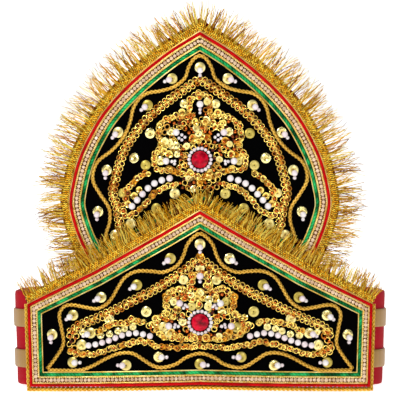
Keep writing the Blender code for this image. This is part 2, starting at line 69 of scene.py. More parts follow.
# Outlines and paths are rows of u, v. A half path runs to the middle line.
FRONT_SIDE = (
    # u, v: from the foot's corner over the shoulder to the apex
    (89.5, 2.6), (90.8, 45.4), (54.5, 62.9), (18.5, 83.1), (0.0, 94.0),
)
FRONT_BACKING = (
    # u, v: the red backing, which shows between the threads of the fringe
    (89.2, 3.0), (90.5, 45.4), (89.6, 51.6), (54.5, 69.0), (18.5, 89.4), (0.0, 100.3),
)
FRONT_FOOT_MIDDLE = (0.0, 5.1)
BACK_SIDE = (
    # u, v: from the apex down
    (0.0, 185.5), (17.6, 174.6), (36.0, 159.9), (49.8, 145.4), (58.4, 132.0), (64.4, 119.3),
    (67.8, 106.6), (69.0, 97.0), (66.8, 87.2), (63.0, 77.5), (58.0, 68.0), (53.5, 60.0),
    (48.8, 51.5),
)
BACK_SLOPE = 0.56
BACK_TRIM_FOOT = 93.2
BACK_BOARD_FOOT = 89.2
BACKING_SPREAD = 5.8
BACKING_APEX = 7.4

FRONT_WAVE_UPPER = (
    (79.6, 12.4), (74.6, 18.8), (70.8, 25.5), (71.7, 33.0), (73.0, 40.3), (70.4, 44.6), (65.6, 45.5),
    (58.9, 44.4), (52.9, 43.8), (48.2, 46.0), (45.0, 49.6), (42.0, 54.8), (38.3, 60.0), (32.4, 63.1),
    (24.6, 63.2), (18.6, 62.8), (12.0, 65.9), (8.6, 71.0), (6.6, 76.6), (3.4, 80.6), (0.0, 82.4),
)
FRONT_WAVE_LOWER = (
    (79.0, 11.8), (75.5, 11.7), (62.5, 12.0), (55.4, 14.4), (48.4, 18.2), (41.4, 21.0), (34.5, 21.1),
    (29.0, 18.0), (24.2, 15.0), (19.3, 14.0), (12.5, 15.7), (7.1, 19.2), (0.0, 21.3),
)
BACK_WAVE = (
    (50.0, 77.6), (48.9, 83.0), (47.2, 88.5), (47.6, 95.3), (52.3, 102.5), (55.8, 108.4), (56.0, 113.8),
    (53.4, 119.3), (46.4, 124.6), (41.5, 129.6), (38.4, 134.4), (36.1, 140.4), (34.7, 146.4), (31.4, 151.5),
    (27.0, 154.2), (20.8, 155.2), (13.4, 157.4), (7.9, 161.8), (6.0, 167.2), (3.2, 171.6), (0.0, 173.2),
)
FRONT_ARCH = (
    (67.6, 30.6), (62.5, 35.0), (55.6, 37.9), (45.0, 42.6), (34.6, 47.9), (24.3, 53.3), (14.0, 59.4),
    (7.0, 64.3), (3.4, 67.4), (0.0, 69.0),
)
BACK_ARCH = (
    (41.0, 83.0), (42.6, 90.6), (43.2, 96.0), (45.6, 102.6), (44.4, 109.2), (42.4, 117.0), (39.6, 124.6),
    (36.2, 130.3), (32.2, 135.6), (27.6, 140.8), (21.4, 146.4), (14.7, 151.5), (8.1, 156.0), (2.9, 159.6),
    (0.0, 160.6),
)
FRONT_LOWER_CHAIN = (
    (68.3, 23.3), (62.5, 20.7), (55.4, 20.5), (47.0, 23.0), (37.9, 25.9), (31.0, 27.3), (24.2, 25.6),
    (13.9, 24.5), (0.0, 24.8),
)
FRONT_CRESCENT = (
    (52.6, 31.8), (44.9, 36.0), (37.9, 37.1), (34.5, 38.0), (27.4, 36.4),
)
BACK_UPPER_CRESCENT = (
    (39.0, 104.6), (35.9, 107.0), (34.1, 109.1), (32.0, 111.2), (29.0, 112.6), (25.9, 113.2),
)
BACK_LOWER_CRESCENT = (
    (38.6, 91.4), (36.0, 91.6), (33.5, 93.0), (30.8, 95.2), (28.1, 97.6), (26.3, 100.3), (23.8, 102.6),
    (21.4, 104.4), (19.0, 105.8), (16.6, 106.7), (13.6, 107.3), (10.7, 107.9),
)
FRONT_FLOWER = (
    # u, v: from the top down the right side
    (0.0, 63.1), (3.3, 60.4), (4.6, 57.0), (6.4, 52.8), (11.5, 54.6), (16.6, 51.0), (17.0, 45.2),
    (16.2, 41.6), (20.6, 39.4), (22.4, 34.8), (19.4, 30.4), (13.0, 29.0), (6.5, 28.7), (0.0, 28.6),
)
BACK_FLOWER = (
    # u, v: from the top down the right side
    (0.0, 154.3), (5.0, 151.2), (5.6, 146.0), (5.8, 141.6), (10.4, 143.0), (15.8, 141.6), (21.0, 137.0),
    (20.8, 131.2), (18.2, 127.2), (22.6, 124.0), (23.9, 119.0), (21.6, 114.8), (15.4, 115.0), (9.5, 112.6),
    (0.0, 111.4),
)
BACK_LINKS = (
    # u, v: from the top down the right side
    (0.0, 111.6), (11.0, 110.8), (15.5, 108.6), (9.0, 105.6), (5.0, 104.2), (0.0, 103.6),
)
FRONT_PEARL_PATH = (
    (25.4, 30.1), (29.5, 31.1), (33.5, 31.6), (39.5, 30.4), (46.5, 27.6), (53.9, 25.4), (57.2, 24.9),
)
BACK_PEARL_PATH = (
    (15.7, 110.6), (19.5, 109.7), (23.5, 108.0), (26.6, 105.8), (29.9, 102.4), (33.0, 99.0), (35.3, 96.3),
)
FRONT_BUTTONS = (
    # u, v, degrees from +u to the seed pearl
    (0.0, 77.0, -90.0), (15.1, 69.7, -36.0), (32.3, 56.1, -31.0), (50.9, 49.6, -27.0), (65.8, 40.2, -34.0),
    (77.1, 30.0, -84.0),
)
BACK_BUTTONS = (
    # u, v, degrees from +u to the seed pearl
    (0.0, 167.2, -90.0), (14.5, 161.5, -21.0), (27.3, 148.0, -38.0), (42.8, 134.1, -44.0),
    (48.9, 114.7, -82.0), (53.6, 93.4, -85.0),
)
FRONT_FOOT_BUTTONS = (
    # u, v, degrees from +u to the seed pearl
    (66.0, 15.9, 180.0), (38.0, 14.9, 0.0), (21.0, 19.3, 180.0), (56.4, 31.2, -23.0), (0.0, 15.8, -8.0),
)
FRONT_RUBY = (0.0, 37.1)
BACK_RUBY = (0.0, 120.2)


def table(rows: Sequence[Sequence[float]]) -> Array:
    """A table of numbers as an array of floats."""
    return np.array(rows, dtype=float)


def unit(vectors: Array) -> Array:
    """Vectors scaled to length one along the last axis."""
    return vectors / np.maximum(np.linalg.norm(vectors, axis=-1, keepdims=True), 1e-9)


def stacked(*columns: Array) -> Array:
    """Arrays side by side along a new last axis."""
    return np.stack(columns, axis=-1)


def read_off(where: Array, knots: Array, rows: Array) -> Array:
    """Each column of a table read by straight interpolation."""
    return stacked(*(np.interp(where, knots, column) for column in rows.T))


def spokes(angles: Array) -> Array:
    """Cosine and sine of each angle, side by side."""
    return stacked(np.cos(angles), np.sin(angles))


def squared_off(angles: Array, power: float) -> Array:
    """Cosine and sine of each angle raised to a power below one, signs kept: a rounded rectangle."""
    ways = spokes(angles)
    return np.sign(ways) * np.abs(ways) ** power


def round_steps(sides: int, shift: Union[float, Array] = 0.0) -> Array:
    """Angles of even steps round a circle, shifted by a share of a step."""
    return (np.arange(sides) + shift) * (FULL_TURN / sides)


def bend(flat: Array) -> Array:
    """Wrap flat places round the brow.

    A place u along the panel turns by u / R about the upright line that stands R behind the face:
    x = (R + w) sin(u / R), y = face + R - (R + w) cos(u / R), z = v.

    Args:
        flat: places (..., 3) as u, v, w in millimetres.

    Returns:
        The same places as x, y, z in metres.
    """
    angle = flat[..., 0] / BROW_RADIUS
    radius = BROW_RADIUS + flat[..., 2]
    y = FACE_Y + BROW_RADIUS - radius * np.cos(angle)
    return stacked(radius * np.sin(angle), y, flat[..., 1]) * MM


def reach_along(path: Array, closed: bool) -> Array:
    """How far along a path each of its points lies, with the closing length at the end of a closed one."""
    loop = np.vstack([path, path[:1]]) if closed else path
    lengths = np.linalg.norm(np.diff(loop, axis=0), axis=1)
    return np.concatenate([[0.0], np.cumsum(lengths)])


def resample(path: Array, step: float, closed: bool = False, keep_corners: bool = False) -> Array:
    """Places at even distances along a path, read by straight interpolation of its arc length.

    Args:
        path: points (N, 2).
        step: the distance wanted between places.
        closed: whether the path comes back to its first point.
        keep_corners: also keep the path's own points.

    Returns:
        The places (M, 2); a closed path doesn't repeat its first one.
    """
    loop = np.vstack([path, path[:1]]) if closed else path
    reach = reach_along(path, closed)
    count = max(2, int(round(reach[-1] / step)))
    targets = np.linspace(0.0, reach[-1], count + 1)
    if keep_corners:
        near = np.min(np.abs(targets[:, None] - reach[None, :]), axis=1) < 0.4 * step
        targets = np.sort(np.concatenate([targets[~near], reach]))
    if closed:
        targets = targets[:-1]
    return read_off(targets, reach, loop)


def smooth(points: Array, step: float) -> Array:
    """A Catmull-Rom curve through the points, read at even steps.

    Between b and c, with a before and d after, the place at share t is
    (2b + (c - a) t + (2a - 5b + 4c - d) t^2 + (3b - a - 3c + d) t^3) / 2.
    """
    knots = np.vstack([2.0 * points[0] - points[1], points, 2.0 * points[-1] - points[-2]])
    a, b, c, d = (knots[k:len(knots) - 3 + k, None, :] for k in range(4))
    t = (np.arange(KNOT_STEPS) / KNOT_STEPS)[None, :, None]
    fine = 0.5 * (2.0 * b + (c - a) * t + (2.0 * a - 5.0 * b + 4.0 * c - d) * t ** 2
                  + (3.0 * b - a - 3.0 * c + d) * t ** 3)
    return resample(np.vstack([fine.reshape(-1, 2), points[-1:]]), step)


def mirrored(half: Array) -> Array:
    """A half path that ends on the middle line, continued on the other side."""
    return np.vstack([half, half[-2::-1] * (-1.0, 1.0)])


def whole_loop(half: Array) -> Array:
    """A half outline from the top down, with both ends on the middle line, closed anticlockwise."""
    return np.vstack([half, half[-2:0:-1] * (-1.0, 1.0)])[::-1]


def flipped(rows: Array) -> Array:
    """Rows of u, v, degrees carried to the other side of the middle line."""
    return rows * (-1.0, 1.0, -1.0) + (0.0, 0.0, 180.0)


def left_normals(path: Array, closed: bool) -> Array:
    """The mitred left normal at each point: both edges beside it move by one when the point moves by it."""
    if closed:
        before = unit(path - np.roll(path, 1, axis=0))
        after = unit(np.roll(path, -1, axis=0) - path)
    else:
        edges = unit(np.diff(path, axis=0))
        before = np.vstack([edges[:1], edges])
        after = np.vstack([edges, edges[-1:]])
    first = stacked(-before[:, 1], before[:, 0])
    second = stacked(-after[:, 1], after[:, 0])
    middle = unit(first + second)
    return middle / np.maximum(np.sum(middle * first, axis=1, keepdims=True), 0.4)


def distances(points: Array, path: Array, closed: bool) -> Array:
    """How far each point lies from a path: the least over its edges, with the foot held on each edge."""
    loop = np.vstack([path, path[:1]]) if closed else path
    start, edge = loop[:-1][None], np.diff(loop, axis=0)[None]
    toward = points[:, None] - start
    share = np.sum(toward * edge, axis=-1) / np.maximum(np.sum(edge * edge, axis=-1), 1e-9)
    foot = start + np.clip(share, 0.0, 1.0)[..., None] * edge
    return np.min(np.linalg.norm(points[:, None] - foot, axis=-1), axis=1)


def offset(path: Array, distance: float, closed: bool = False) -> Array:
    """A path moved to its left by the distance, without the points that cross over at a corner."""
    moved = path + left_normals(path, closed) * distance
    return moved[distances(moved, path, closed) > abs(distance) - 0.02]


def front_outline() -> Array:
    """The front panel's outline, anticlockwise from the middle of its foot."""
    side = table(FRONT_SIDE)
    left = side[-2::-1] * (-1.0, 1.0)
    return np.vstack([table([FRONT_FOOT_MIDDLE]), side, left])


def back_side(foot: float, step: float) -> Array:
    """The back panel's right side from a slanting foot up to the apex, cut where it meets the foot."""
    side = smooth(table(BACK_SIDE), step)
    over = side[:, 1] - (foot - BACK_SLOPE * side[:, 0])
    last = int(np.argmax(over < 0.0)) if np.any(over < 0.0) else len(side)
    share = over[last - 1] / (over[last - 1] - over[last])
    corner = side[last - 1] + (side[last] - side[last - 1]) * share
    return np.vstack([corner, side[:last][::-1]])


def back_outline(foot: float, step: float) -> Array:
    """The back panel's outline, anticlockwise from the middle of its foot."""
    side = back_side(foot, step)
    return np.vstack([table([(0.0, foot)]), side, side[-2::-1] * (-1.0, 1.0)])


@dataclass
class Shape:
    """A mesh in the making.

    Args:
        places: vertices (N, 3), flat and in millimetres unless said otherwise.
        faces: arrays of corners, one array for each number of corners.
        part: a mark (N,) from 0 to 1 that tells grooves from crests or a rim from a bowl; the thread, sequin
            and stone finishes paint shade at its low end and highlight at its high end.
        tone: a mark (N,) from 0 to 1 that is the same all over one bead, thread or stitch.
    """
    places: Array
    faces: list[Array]
    part: Array
    tone: Array

    @staticmethod
    def joined(shapes: Sequence["Shape"]) -> "Shape":
        """Several shapes as one, each one's corners counted on from the last."""
        starts = np.cumsum([0] + [len(s.places) for s in shapes])
        by_size: dict[int, list[Array]] = {}
        for shape, start in zip(shapes, starts):
            for block in shape.faces:
                by_size.setdefault(block.shape[1], []).append(block + start)
        return Shape(
            np.concatenate([s.places for s in shapes]),
            [np.concatenate(blocks) for blocks in by_size.values()],
            np.concatenate([s.part for s in shapes]),
            np.concatenate([s.tone for s in shapes]),
        )

    def bent(self) -> "Shape":
        """The shape wrapped round the brow, in metres."""
        return Shape(bend(self.places), self.faces, self.part, self.tone)


def grid_quads(rows: int, columns: int, wrap_rows: bool, wrap_columns: bool) -> Array:
    """Quads of a grid of vertices; they face along (next column) x (next row)."""
    r = np.arange(rows if wrap_rows else rows - 1)[:, None]
    c = np.arange(columns if wrap_columns else columns - 1)[None, :]
    up = (r + 1) % rows
    right = (c + 1) % columns
    corners = (r * columns + c, r * columns + right, up * columns + right, up * columns + c)
    return np.stack(np.broadcast_arrays(*corners), axis=-1).reshape(-1, 4)


def turned(profile: Array, sides: int, part: Optional[Array] = None) -> Shape:
    """A body turned about its own z from a profile of radius and height.

    The place at share k of a turn is (r cos k, r sin k, z). A profile that starts and ends on the axis
    gives a closed ball with two poles; any other one is taken as a closed loop, which gives a ring. It runs
    anticlockwise: up on the outside.

    Args:
        profile: rows of radius, height.
        sides: steps of the turn.
        part: the mark of each profile row.

    Returns:
        The body, with its tone left at zero.
    """
    marks = np.linspace(0.0, 1.0, len(profile)) if part is None else part
    turn = round_steps(sides)
    ball = profile[0, 0] == 0.0 and profile[-1, 0] == 0.0
    rings = profile[1:-1] if ball else profile
    x = rings[:, :1] * np.cos(turn)
    y = rings[:, :1] * np.sin(turn)
    z = np.broadcast_to(rings[:, 1:], x.shape)
    places = stacked(x, y, z).reshape(-1, 3)
    body = np.repeat(marks[1:-1] if ball else marks, sides)
    faces = [grid_quads(len(rings), sides, not ball, True)]
    if ball:
        low, high = len(places), len(places) + 1
        ends = table([(0.0, 0.0, profile[0, 1]), (0.0, 0.0, profile[-1, 1])])
        places = np.vstack([places, ends])
        body = np.append(body, marks[[0, -1]])
        c = np.arange(sides)
        after = (c + 1) % sides
        top = (len(rings) - 1) * sides
        faces.append(np.vstack([
            stacked(np.full(sides, low), after, c),
            stacked(np.full(sides, high), top + c, top + after),
        ]))
    return Shape(places, faces, body, np.zeros(len(places)))


def ball(radius: float, rings: int, sides: int) -> Shape:
    """A round bead: r = R cos(a), z = R sin(a) for a from one pole to the other."""
    profile = radius * spokes(np.linspace(-math.pi / 2.0, math.pi / 2.0, rings + 1))
    profile[[0, -1], 0] = 0.0
    # The part mark runs from the lower pole to the upper one: the finishes paint shade underneath and
    # highlight on top.
    return turned(profile, sides)


def hoop(radius: float, wire: float, sides: int, rounding: int) -> Shape:
    """A thin ring that stands on z = 0: a circle of the wire's radius, turned about z at the given radius."""
    profile = wire * (spokes(round_steps(rounding)) + (0.0, 1.0)) + (radius, 0.0)
    return turned(profile, sides, np.ones(rounding))


def turns(spin: Array, tilt: Array, toward: Array) -> Array:
    """Rotations that spin a piece about w and then tip it by tilt towards a direction in the panel.

    With k the in-plane axis square to that direction, a vector p tips to
    p cos(tilt) + (k x p) sin(tilt) + k (k . p)(1 - cos(tilt)).

    Args:
        spin: angles about w.
        tilt: angles of tipping.
        toward: directions in the panel, as angles from +u.

    Returns:
        Matrices (N, 3, 3).
    """
    cos_s, sin_s = np.cos(spin), np.sin(spin)
    zero, one = np.zeros_like(spin), np.ones_like(spin)
    spun = np.stack([
        stacked(cos_s, -sin_s, zero),
        stacked(sin_s, cos_s, zero),
        stacked(zero, zero, one),
    ], axis=-2)
    kx, ky = -np.sin(toward), np.cos(toward)
    c, s = np.cos(tilt), np.sin(tilt)
    tipped = np.stack([
        stacked(c + kx * kx * (1 - c), kx * ky * (1 - c), ky * s),
        stacked(kx * ky * (1 - c), c + ky * ky * (1 - c), -kx * s),
        stacked(-ky * s, kx * s, c),
    ], axis=-2)
    return tipped @ spun


def scatter(shape: Shape, centres: Array, poses: Array, sizes: Array, tones: Array) -> Shape:
    """Copies of a small shape: place = centre + pose (size * own place).

    Args:
        shape: the small shape.
        centres: where its own origin goes (N, 3).
        poses: rotations (N, 3, 3).
        sizes: scales (N,) or (N, 3).
        tones: the mark that each copy carries (N,).

    Returns:
        All the copies as one shape.
    """
    count, own = len(centres), len(shape.places)
    scale = sizes[:, None, None] if sizes.ndim == 1 else sizes[:, None, :]
    places = centres[:, None, :] + np.einsum("nij,nkj->nki", poses, shape.places[None] * scale)
    starts = (np.arange(count) * own)[:, None, None]
    faces = [(block[None] + starts).reshape(-1, block.shape[1]) for block in shape.faces]
    return Shape(places.reshape(-1, 3), faces, np.tile(shape.part, count), np.repeat(tones, own))


def carried(path: Array, section: Array, lift: Union[float, Array], closed: bool, part: Array) -> Shape:
    """A section carried along a flat path: place = path + a left normal + b w axis + lift.

    Args:
        path: points (N, 2).
        section: a, b for each row of the path (N, K, 2), anticlockwise.
        lift: the height w of the section's origin, the same all along or one for each row.
        closed: whether the path is a loop. An open one gets flat ends.
        part: marks (N, K).

    Returns:
        The body.
    """
    rows, columns = section.shape[:2]
    flat = path[:, None, :] + left_normals(path, closed)[:, None, :] * section[..., :1]
    height = section[..., 1] + np.broadcast_to(np.reshape(lift, (-1, 1)), (rows, 1))
    places = np.concatenate([flat, height[..., None]], axis=-1).reshape(-1, 3)
    faces = [grid_quads(rows, columns, closed, True)]
    if not closed:
        ring = np.arange(columns)
        faces.append(np.stack([ring[::-1], (rows - 1) * columns + ring]))
    return Shape(places, faces, part.reshape(-1), np.zeros(len(places)))


def varied(shape: Shape, reach: Array, columns: int, rng: np.random.Generator, run: float) -> Shape:
    """A carried body with a tone that drifts along it: random values every run, interpolated."""
    knots = np.arange(0.0, reach[-1] + 2.0 * run, run)
    drift = np.interp(reach, knots, rng.random(len(knots)))
    shape.tone = np.repeat(drift, columns)
    return shape


@dataclass(frozen=True)
class Twist:
    """A laid cord: plies that wind round each other.

    Args:
        radius: over the crests of the plies.
        plies: how many there are.
        pitch: from one crest to the next along the cord.
        groove: depth of the grooves as a share of the radius.
        sides: steps round the cord.
        step: steps along it.
        flatness: height over width.
    """
    radius: float
    plies: int
    pitch: float
    groove: float = 0.3
    sides: int = 8
    step: float = 0.4
    flatness: float = 1.0

    def along(self, path: Array, lift: float, closed: bool, rng: np.random.Generator) -> Shape:
        """Carry the cord along a path; its radius is R (1 - g + g |cos(plies (a - turn) / 2)|)."""
        fine = resample(path, self.step, closed, keep_corners=True)
        reach = reach_along(fine, closed)[:len(fine)]
        a = round_steps(self.sides)
        crest = np.abs(np.cos(0.5 * self.plies * a[None] - math.pi * reach[:, None] / self.pitch))
        size = self.radius * (1.0 - self.groove + self.groove * crest)
        section = stacked(size * np.cos(a), self.flatness * size * np.sin(a))
        # The crest share is the part mark: painted shade in the grooves and painted highlight on the plies'
        # crests.
        return varied(carried(fine, section, lift, closed, crest), reach, self.sides, rng, 3.0)


@dataclass(frozen=True)
class Plait:
    """A flat plaited cord with a herringbone of stitches along its middle.

    Args:
        half_width: across the panel.
        half_height: over it.
        pitch: from stitch to stitch.
        groove: depth of the stitches as a share of the half sizes.
        sides: steps round the cord.
        step: steps along it.
    """
    half_width: float
    half_height: float
    pitch: float
    groove: float = 0.26
    sides: int = 12
    step: float = 0.3

    def along(self, path: Array, lift: float, closed: bool, rng: np.random.Generator) -> Shape:
        """Carry the plait along a path; a stitch's crest is |sin(pi (s / pitch - |across|))|."""
        fine = resample(path, self.step, closed)
        reach = reach_along(fine, closed)[:len(fine)]
        a = round_steps(self.sides, 0.5)
        across = np.abs(np.cos(a))[None]
        crest = np.abs(np.sin(math.pi * (reach[:, None] / self.pitch - across))) ** 0.7
        size = 1.0 - self.groove * (1.0 - crest)
        section = stacked(self.half_width * size * np.cos(a), self.half_height * size * np.sin(a))
        # The part mark: painted shade between the stitches and painted highlight on their crests; it is also
        # higher, so lighter, at the cord's edges.
        mark = 0.75 * crest + 0.25 * np.broadcast_to(across, crest.shape)
        return varied(carried(fine, section, lift, closed, mark), reach, self.sides, rng, 4.0)


@dataclass(frozen=True)
class Tape:
    """A flat woven tape with rounded edges.

    Args:
        width: across.
        thickness: over the panel.
        step: steps along it.
        sides: steps round it.
        squareness: the power that its section is squared off by.
    """
    width: float
    thickness: float
    step: float = 1.0
    sides: int = 12
    squareness: float = 0.4

    def along(self, path: Array, lift: float, closed: bool) -> Shape:
        """Carry the tape along a path, its foot at the lift."""
        fine = resample(path, self.step, closed, keep_corners=True)
        corners = squared_off(round_steps(self.sides, 0.5), self.squareness)
        outline = (corners + (0.0, 1.0)) * (0.5 * self.width, 0.5 * self.thickness)
        section = np.broadcast_to(outline, (len(fine), self.sides, 2))
        # Its part mark is 0, so a thread finish gives it the painted shade of a groove: dark gaps between the
        # stitches laid over it.
        return carried(fine, section, lift, closed, np.zeros((len(fine), self.sides)))


def places_beside(path: Array, pitch: float, aside: float, closed: bool,
                  late: bool = False) -> tuple[Array, Array]:
    """Even places beside a path, and the way the path runs at each.

    Args:
        path: points (N, 2).
        pitch: the distance between places.
        aside: how far to the left of the path they lie.
        closed: whether the path is a loop.
        late: shift all of them by half a pitch.

    Returns:
        Places (M, 2) and angles (M,) from +u.
    """
    even = resample(offset(path, aside, closed), pitch, closed)
    after = np.roll(even, -1, axis=0)
    if not closed:
        even, after = even[:-1], after[:-1]
    way = after - even
    angle = np.arctan2(way[:, 1], way[:, 0])
    return (even + 0.5 * way if late else even), angle


def on_face(flat: Array, lift: Union[float, Array]) -> Array:
    """Flat places (N, 2) given the height w."""
    return np.column_stack([flat, np.broadcast_to(lift, len(flat))])


class Signal:
    """A shader socket that can be calculated with: each operator adds a Math node."""

    def __init__(self, recipe: "Recipe", socket: bpy.types.NodeSocket) -> None:
        """Wrap a node's output socket."""
        self.recipe = recipe
        self.socket = socket

    def __add__(self, other: "Value") -> "Signal":
        """Sum."""
        return self.recipe.maths("ADD", self, other)

    def __sub__(self, other: "Value") -> "Signal":
        """Difference."""
        return self.recipe.maths("SUBTRACT", self, other)

    def __rsub__(self, other: "Value") -> "Signal":
        """Difference from a number."""
        return self.recipe.maths("SUBTRACT", other, self)

    def __mul__(self, other: "Value") -> "Signal":
        """Product."""
        return self.recipe.maths("MULTIPLY", self, other)

    __radd__ = __add__
    __rmul__ = __mul__


Value = Union[Signal, float, int, tuple, Vector]


class Recipe:
    """The node tree of one material round its Principled shader."""

    def __init__(self, name: str) -> None:
        """Make an empty material with its shader and output."""
        self.material = bpy.data.materials.new(name)
        self.material.use_nodes = True
        self.tree = self.material.node_tree
        self.shader = self.tree.nodes["Principled BSDF"]

    def node(self, kind: str, settings: dict[str, Any], sockets: dict[Union[str, int], Value],
             out: Union[str, int] = 0) -> Signal:
        """Add a node: settings first, then its sockets' values or links.

        Args:
            kind: the node's type.
            settings: its properties. A ramp's stops go under "stops" as place, colour pairs.
            sockets: input sockets by name or number.
            out: the output wanted.

        Returns:
            That output.
        """
        made = self.tree.nodes.new(kind)
        for key, value in settings.items():
            if key == "stops":
                elements = made.color_ramp.elements
                for _ in range(len(value) - len(elements)):
                    elements.new(1.0)
                for element, (place, colour) in zip(elements, value):
                    element.position = place
                    element.color = (*colour, 1.0)
            else:
                setattr(made, key, value)
        for key, value in sockets.items():
            self.feed(made.inputs[key], value)
        return Signal(self, made.outputs[out])

    def feed(self, socket: bpy.types.NodeSocket, value: Value) -> None:
        """Link or set one input socket."""
        if isinstance(value, Signal):
            self.tree.links.new(value.socket, socket)
        elif isinstance(value, tuple) and socket.type == "RGBA":
            socket.default_value = (*value, 1.0)
        else:
            socket.default_value = value

    def dress(self, **sockets: Value) -> bpy.types.Material:
        """Set or link the shader's own sockets, their names written with underscores."""
        for key, value in sockets.items():
            self.feed(self.shader.inputs[key.replace("_", " ")], value)
        return self.material

    def mark(self, name: str) -> Signal:
        """A mesh attribute's value."""
        return self.node("ShaderNodeAttribute", {"attribute_name": name}, {}, "Fac")

    def place(self) -> Signal:
        """Object coordinates."""
        return self.node("ShaderNodeTexCoord", {}, {}, "Object")

    def noise(self, scale: float, detail: float = 2.0) -> Signal:
        """Noise over object coordinates."""
        return self.node("ShaderNodeTexNoise", {}, {"Vector": self.place(), "Scale": scale, "Detail": detail})

    def ramp(self, value: Value, *stops: tuple[float, Colour]) -> Signal:
        """A colour ramp."""
        return self.node("ShaderNodeValToRGB", {"stops": stops}, {"Fac": value}, "Color")

    def maths(self, operation: str, *values: Value) -> Signal:
        """A Math node over one or two values."""
        return self.node("ShaderNodeMath", {"operation": operation}, dict(enumerate(values)))

    def cloth(self, axis: str) -> Signal:
        """X, the way along a woven piece, or Y, the way up it, in millimetres of its cloth map."""
        where = self.node("ShaderNodeUVMap", {"uv_map": "cloth"}, {})
        return self.node("ShaderNodeSeparateXYZ", {}, {0: where}, axis)

    def mix(self, share: Value, first: Value, second: Value) -> Signal:
        """Two colours mixed."""
        return self.node("ShaderNodeMix", {"data_type": "RGBA"}, {0: share, 6: first, 7: second}, 2)

    def stretch(self, value: Signal, low: float, high: float, to_low: float, to_high: float) -> Signal:
        """A value carried from one range to another and held there."""
        return self.node("ShaderNodeMapRange", {}, {0: value, 1: low, 2: high, 3: to_low, 4: to_high})

    def bump(self, height: Value, strength: float, depth_mm: float) -> Signal:
        """A bumped normal."""
        sockets = {"Height": height, "Strength": strength, "Distance": depth_mm * MM}
        return self.node("ShaderNodeBump", {}, sockets, "Normal")


@dataclass(frozen=True)
class Velvet:
    """Deep black pile.

    Args:
        dark: colour between the hairs.
        light: colour of their tips.
    """
    dark: Colour = (0.0002, 0.0002, 0.0002)
    light: Colour = (0.0012, 0.0011, 0.0014)

    def made(self) -> bpy.types.Material:
        """Fine noise for the hairs over broad noise for the lie of the pile."""
        r = Recipe("black_velvet_pile")
        hairs = r.noise(2600.0, 3.0)
        lie = r.noise(60.0, 3.0)
        return r.dress(
            Base_Color=r.mix(hairs * 0.6 + lie * 0.4, self.dark, self.light),
            Roughness=0.95, Specular_IOR_Level=0.012,
            Normal=r.bump(hairs, 0.5, 0.12),
        )


@dataclass(frozen=True)
class Cloth:
    """Plain woven cloth: over and under threads along the piece's own cloth map.

    Args:
        name: the material's name.
        dark: colour in the gaps of the weave.
        light: colour on its threads.
        threads: threads to a millimetre, or 0 for felted cloth without a map.
        roughness: of the fibres.
    """
    name: str
    dark: Colour
    light: Colour
    threads: float = 1.6
    roughness: float = 0.75

    def made(self) -> bpy.types.Material:
        """The weave is sin(u) sin(v) over the map, with broad noise for wear."""
        r = Recipe(self.name)
        if self.threads:
            pace = math.pi * self.threads
            weave = r.maths("SINE", r.cloth("X") * pace) * r.maths("SINE", r.cloth("Y") * pace) * 0.5 + 0.5
        else:
            weave = r.noise(900.0)
        shade = r.mix(weave * 0.55 + r.noise(45.0, 4.0) * 0.45, self.dark, self.light)
        return r.dress(Base_Color=shade, Roughness=self.roughness, Specular_IOR_Level=0.12,
                       Normal=r.bump(weave, 0.5, 0.08))


@dataclass(frozen=True)
class Satin:
    """Satin ribbon with fine ribs across it.

    Args:
        dark: colour between the ribs.
        light: colour on them.
    """
    dark: Colour = (0.20, 0.085, 0.012)
    light: Colour = (0.52, 0.30, 0.075)

    def made(self) -> bpy.types.Material:
        """Ribs run up the ribbon: sin of the cloth map's u, with streaks of noise."""
        r = Recipe("tan_satin_weave")
        across = r.cloth("X")
        rib = r.maths("SINE", across * 7.0) * 0.5 + 0.5
        streak = r.node("ShaderNodeTexNoise", {"noise_dimensions": "1D"},
                        {"W": across, "Scale": 0.5, "Detail": 3.0})
        shade = r.mix(rib * 0.4 + streak * 0.6, self.dark, self.light)
        return r.dress(Base_Color=shade, Roughness=0.42, Metallic=0.1, Specular_IOR_Level=0.3,
                       Normal=r.bump(rib, 0.35, 0.05))


@dataclass(frozen=True)
class Thread:
    """Metallic or silk thread, its colour set by the two marks on the mesh.

    Args:
        name: the material's name.
        groove: colour in the grooves.
        body: colour of the thread.
        crest: colour where it catches light.
        metallic: how much of a metal it is.
        roughness: of the thread.
        spread: how much the tone mark shifts the colour, from 0 to 1.
        gloss: strength of its white reflections where it isn't metal.
    """
    # groove: colour in the grooves: painted shade.
    name: str
    groove: Colour
    body: Colour
    crest: Colour
    metallic: float = 1.0
    roughness: float = 0.34
    spread: float = 0.4
    gloss: float = 0.5

    def made(self) -> bpy.types.Material:
        """A ramp over the part mark, painted shade in the grooves and painted highlight on the crests,
        shifted by the tone mark and by fine noise.
        """
        r = Recipe(self.name)
        part, tone = r.mark("part"), r.mark("tone")
        fleck = r.noise(1400.0, 2.0)
        value = part * (0.9 - self.spread) + tone * self.spread + fleck * 0.3 - 0.12
        # Low part marks take the groove's painted shade, high ones the crest's painted highlight.
        shade = r.ramp(value, (0.12, self.groove), (0.42, self.body), (0.92, self.crest))
        return r.dress(
            Base_Color=shade, Metallic=self.metallic, Specular_IOR_Level=self.gloss,
            Roughness=r.stretch(fleck, 0.3, 0.7, self.roughness - 0.1, self.roughness + 0.12),
            Normal=r.bump(fleck, 0.35, 0.06),
        )


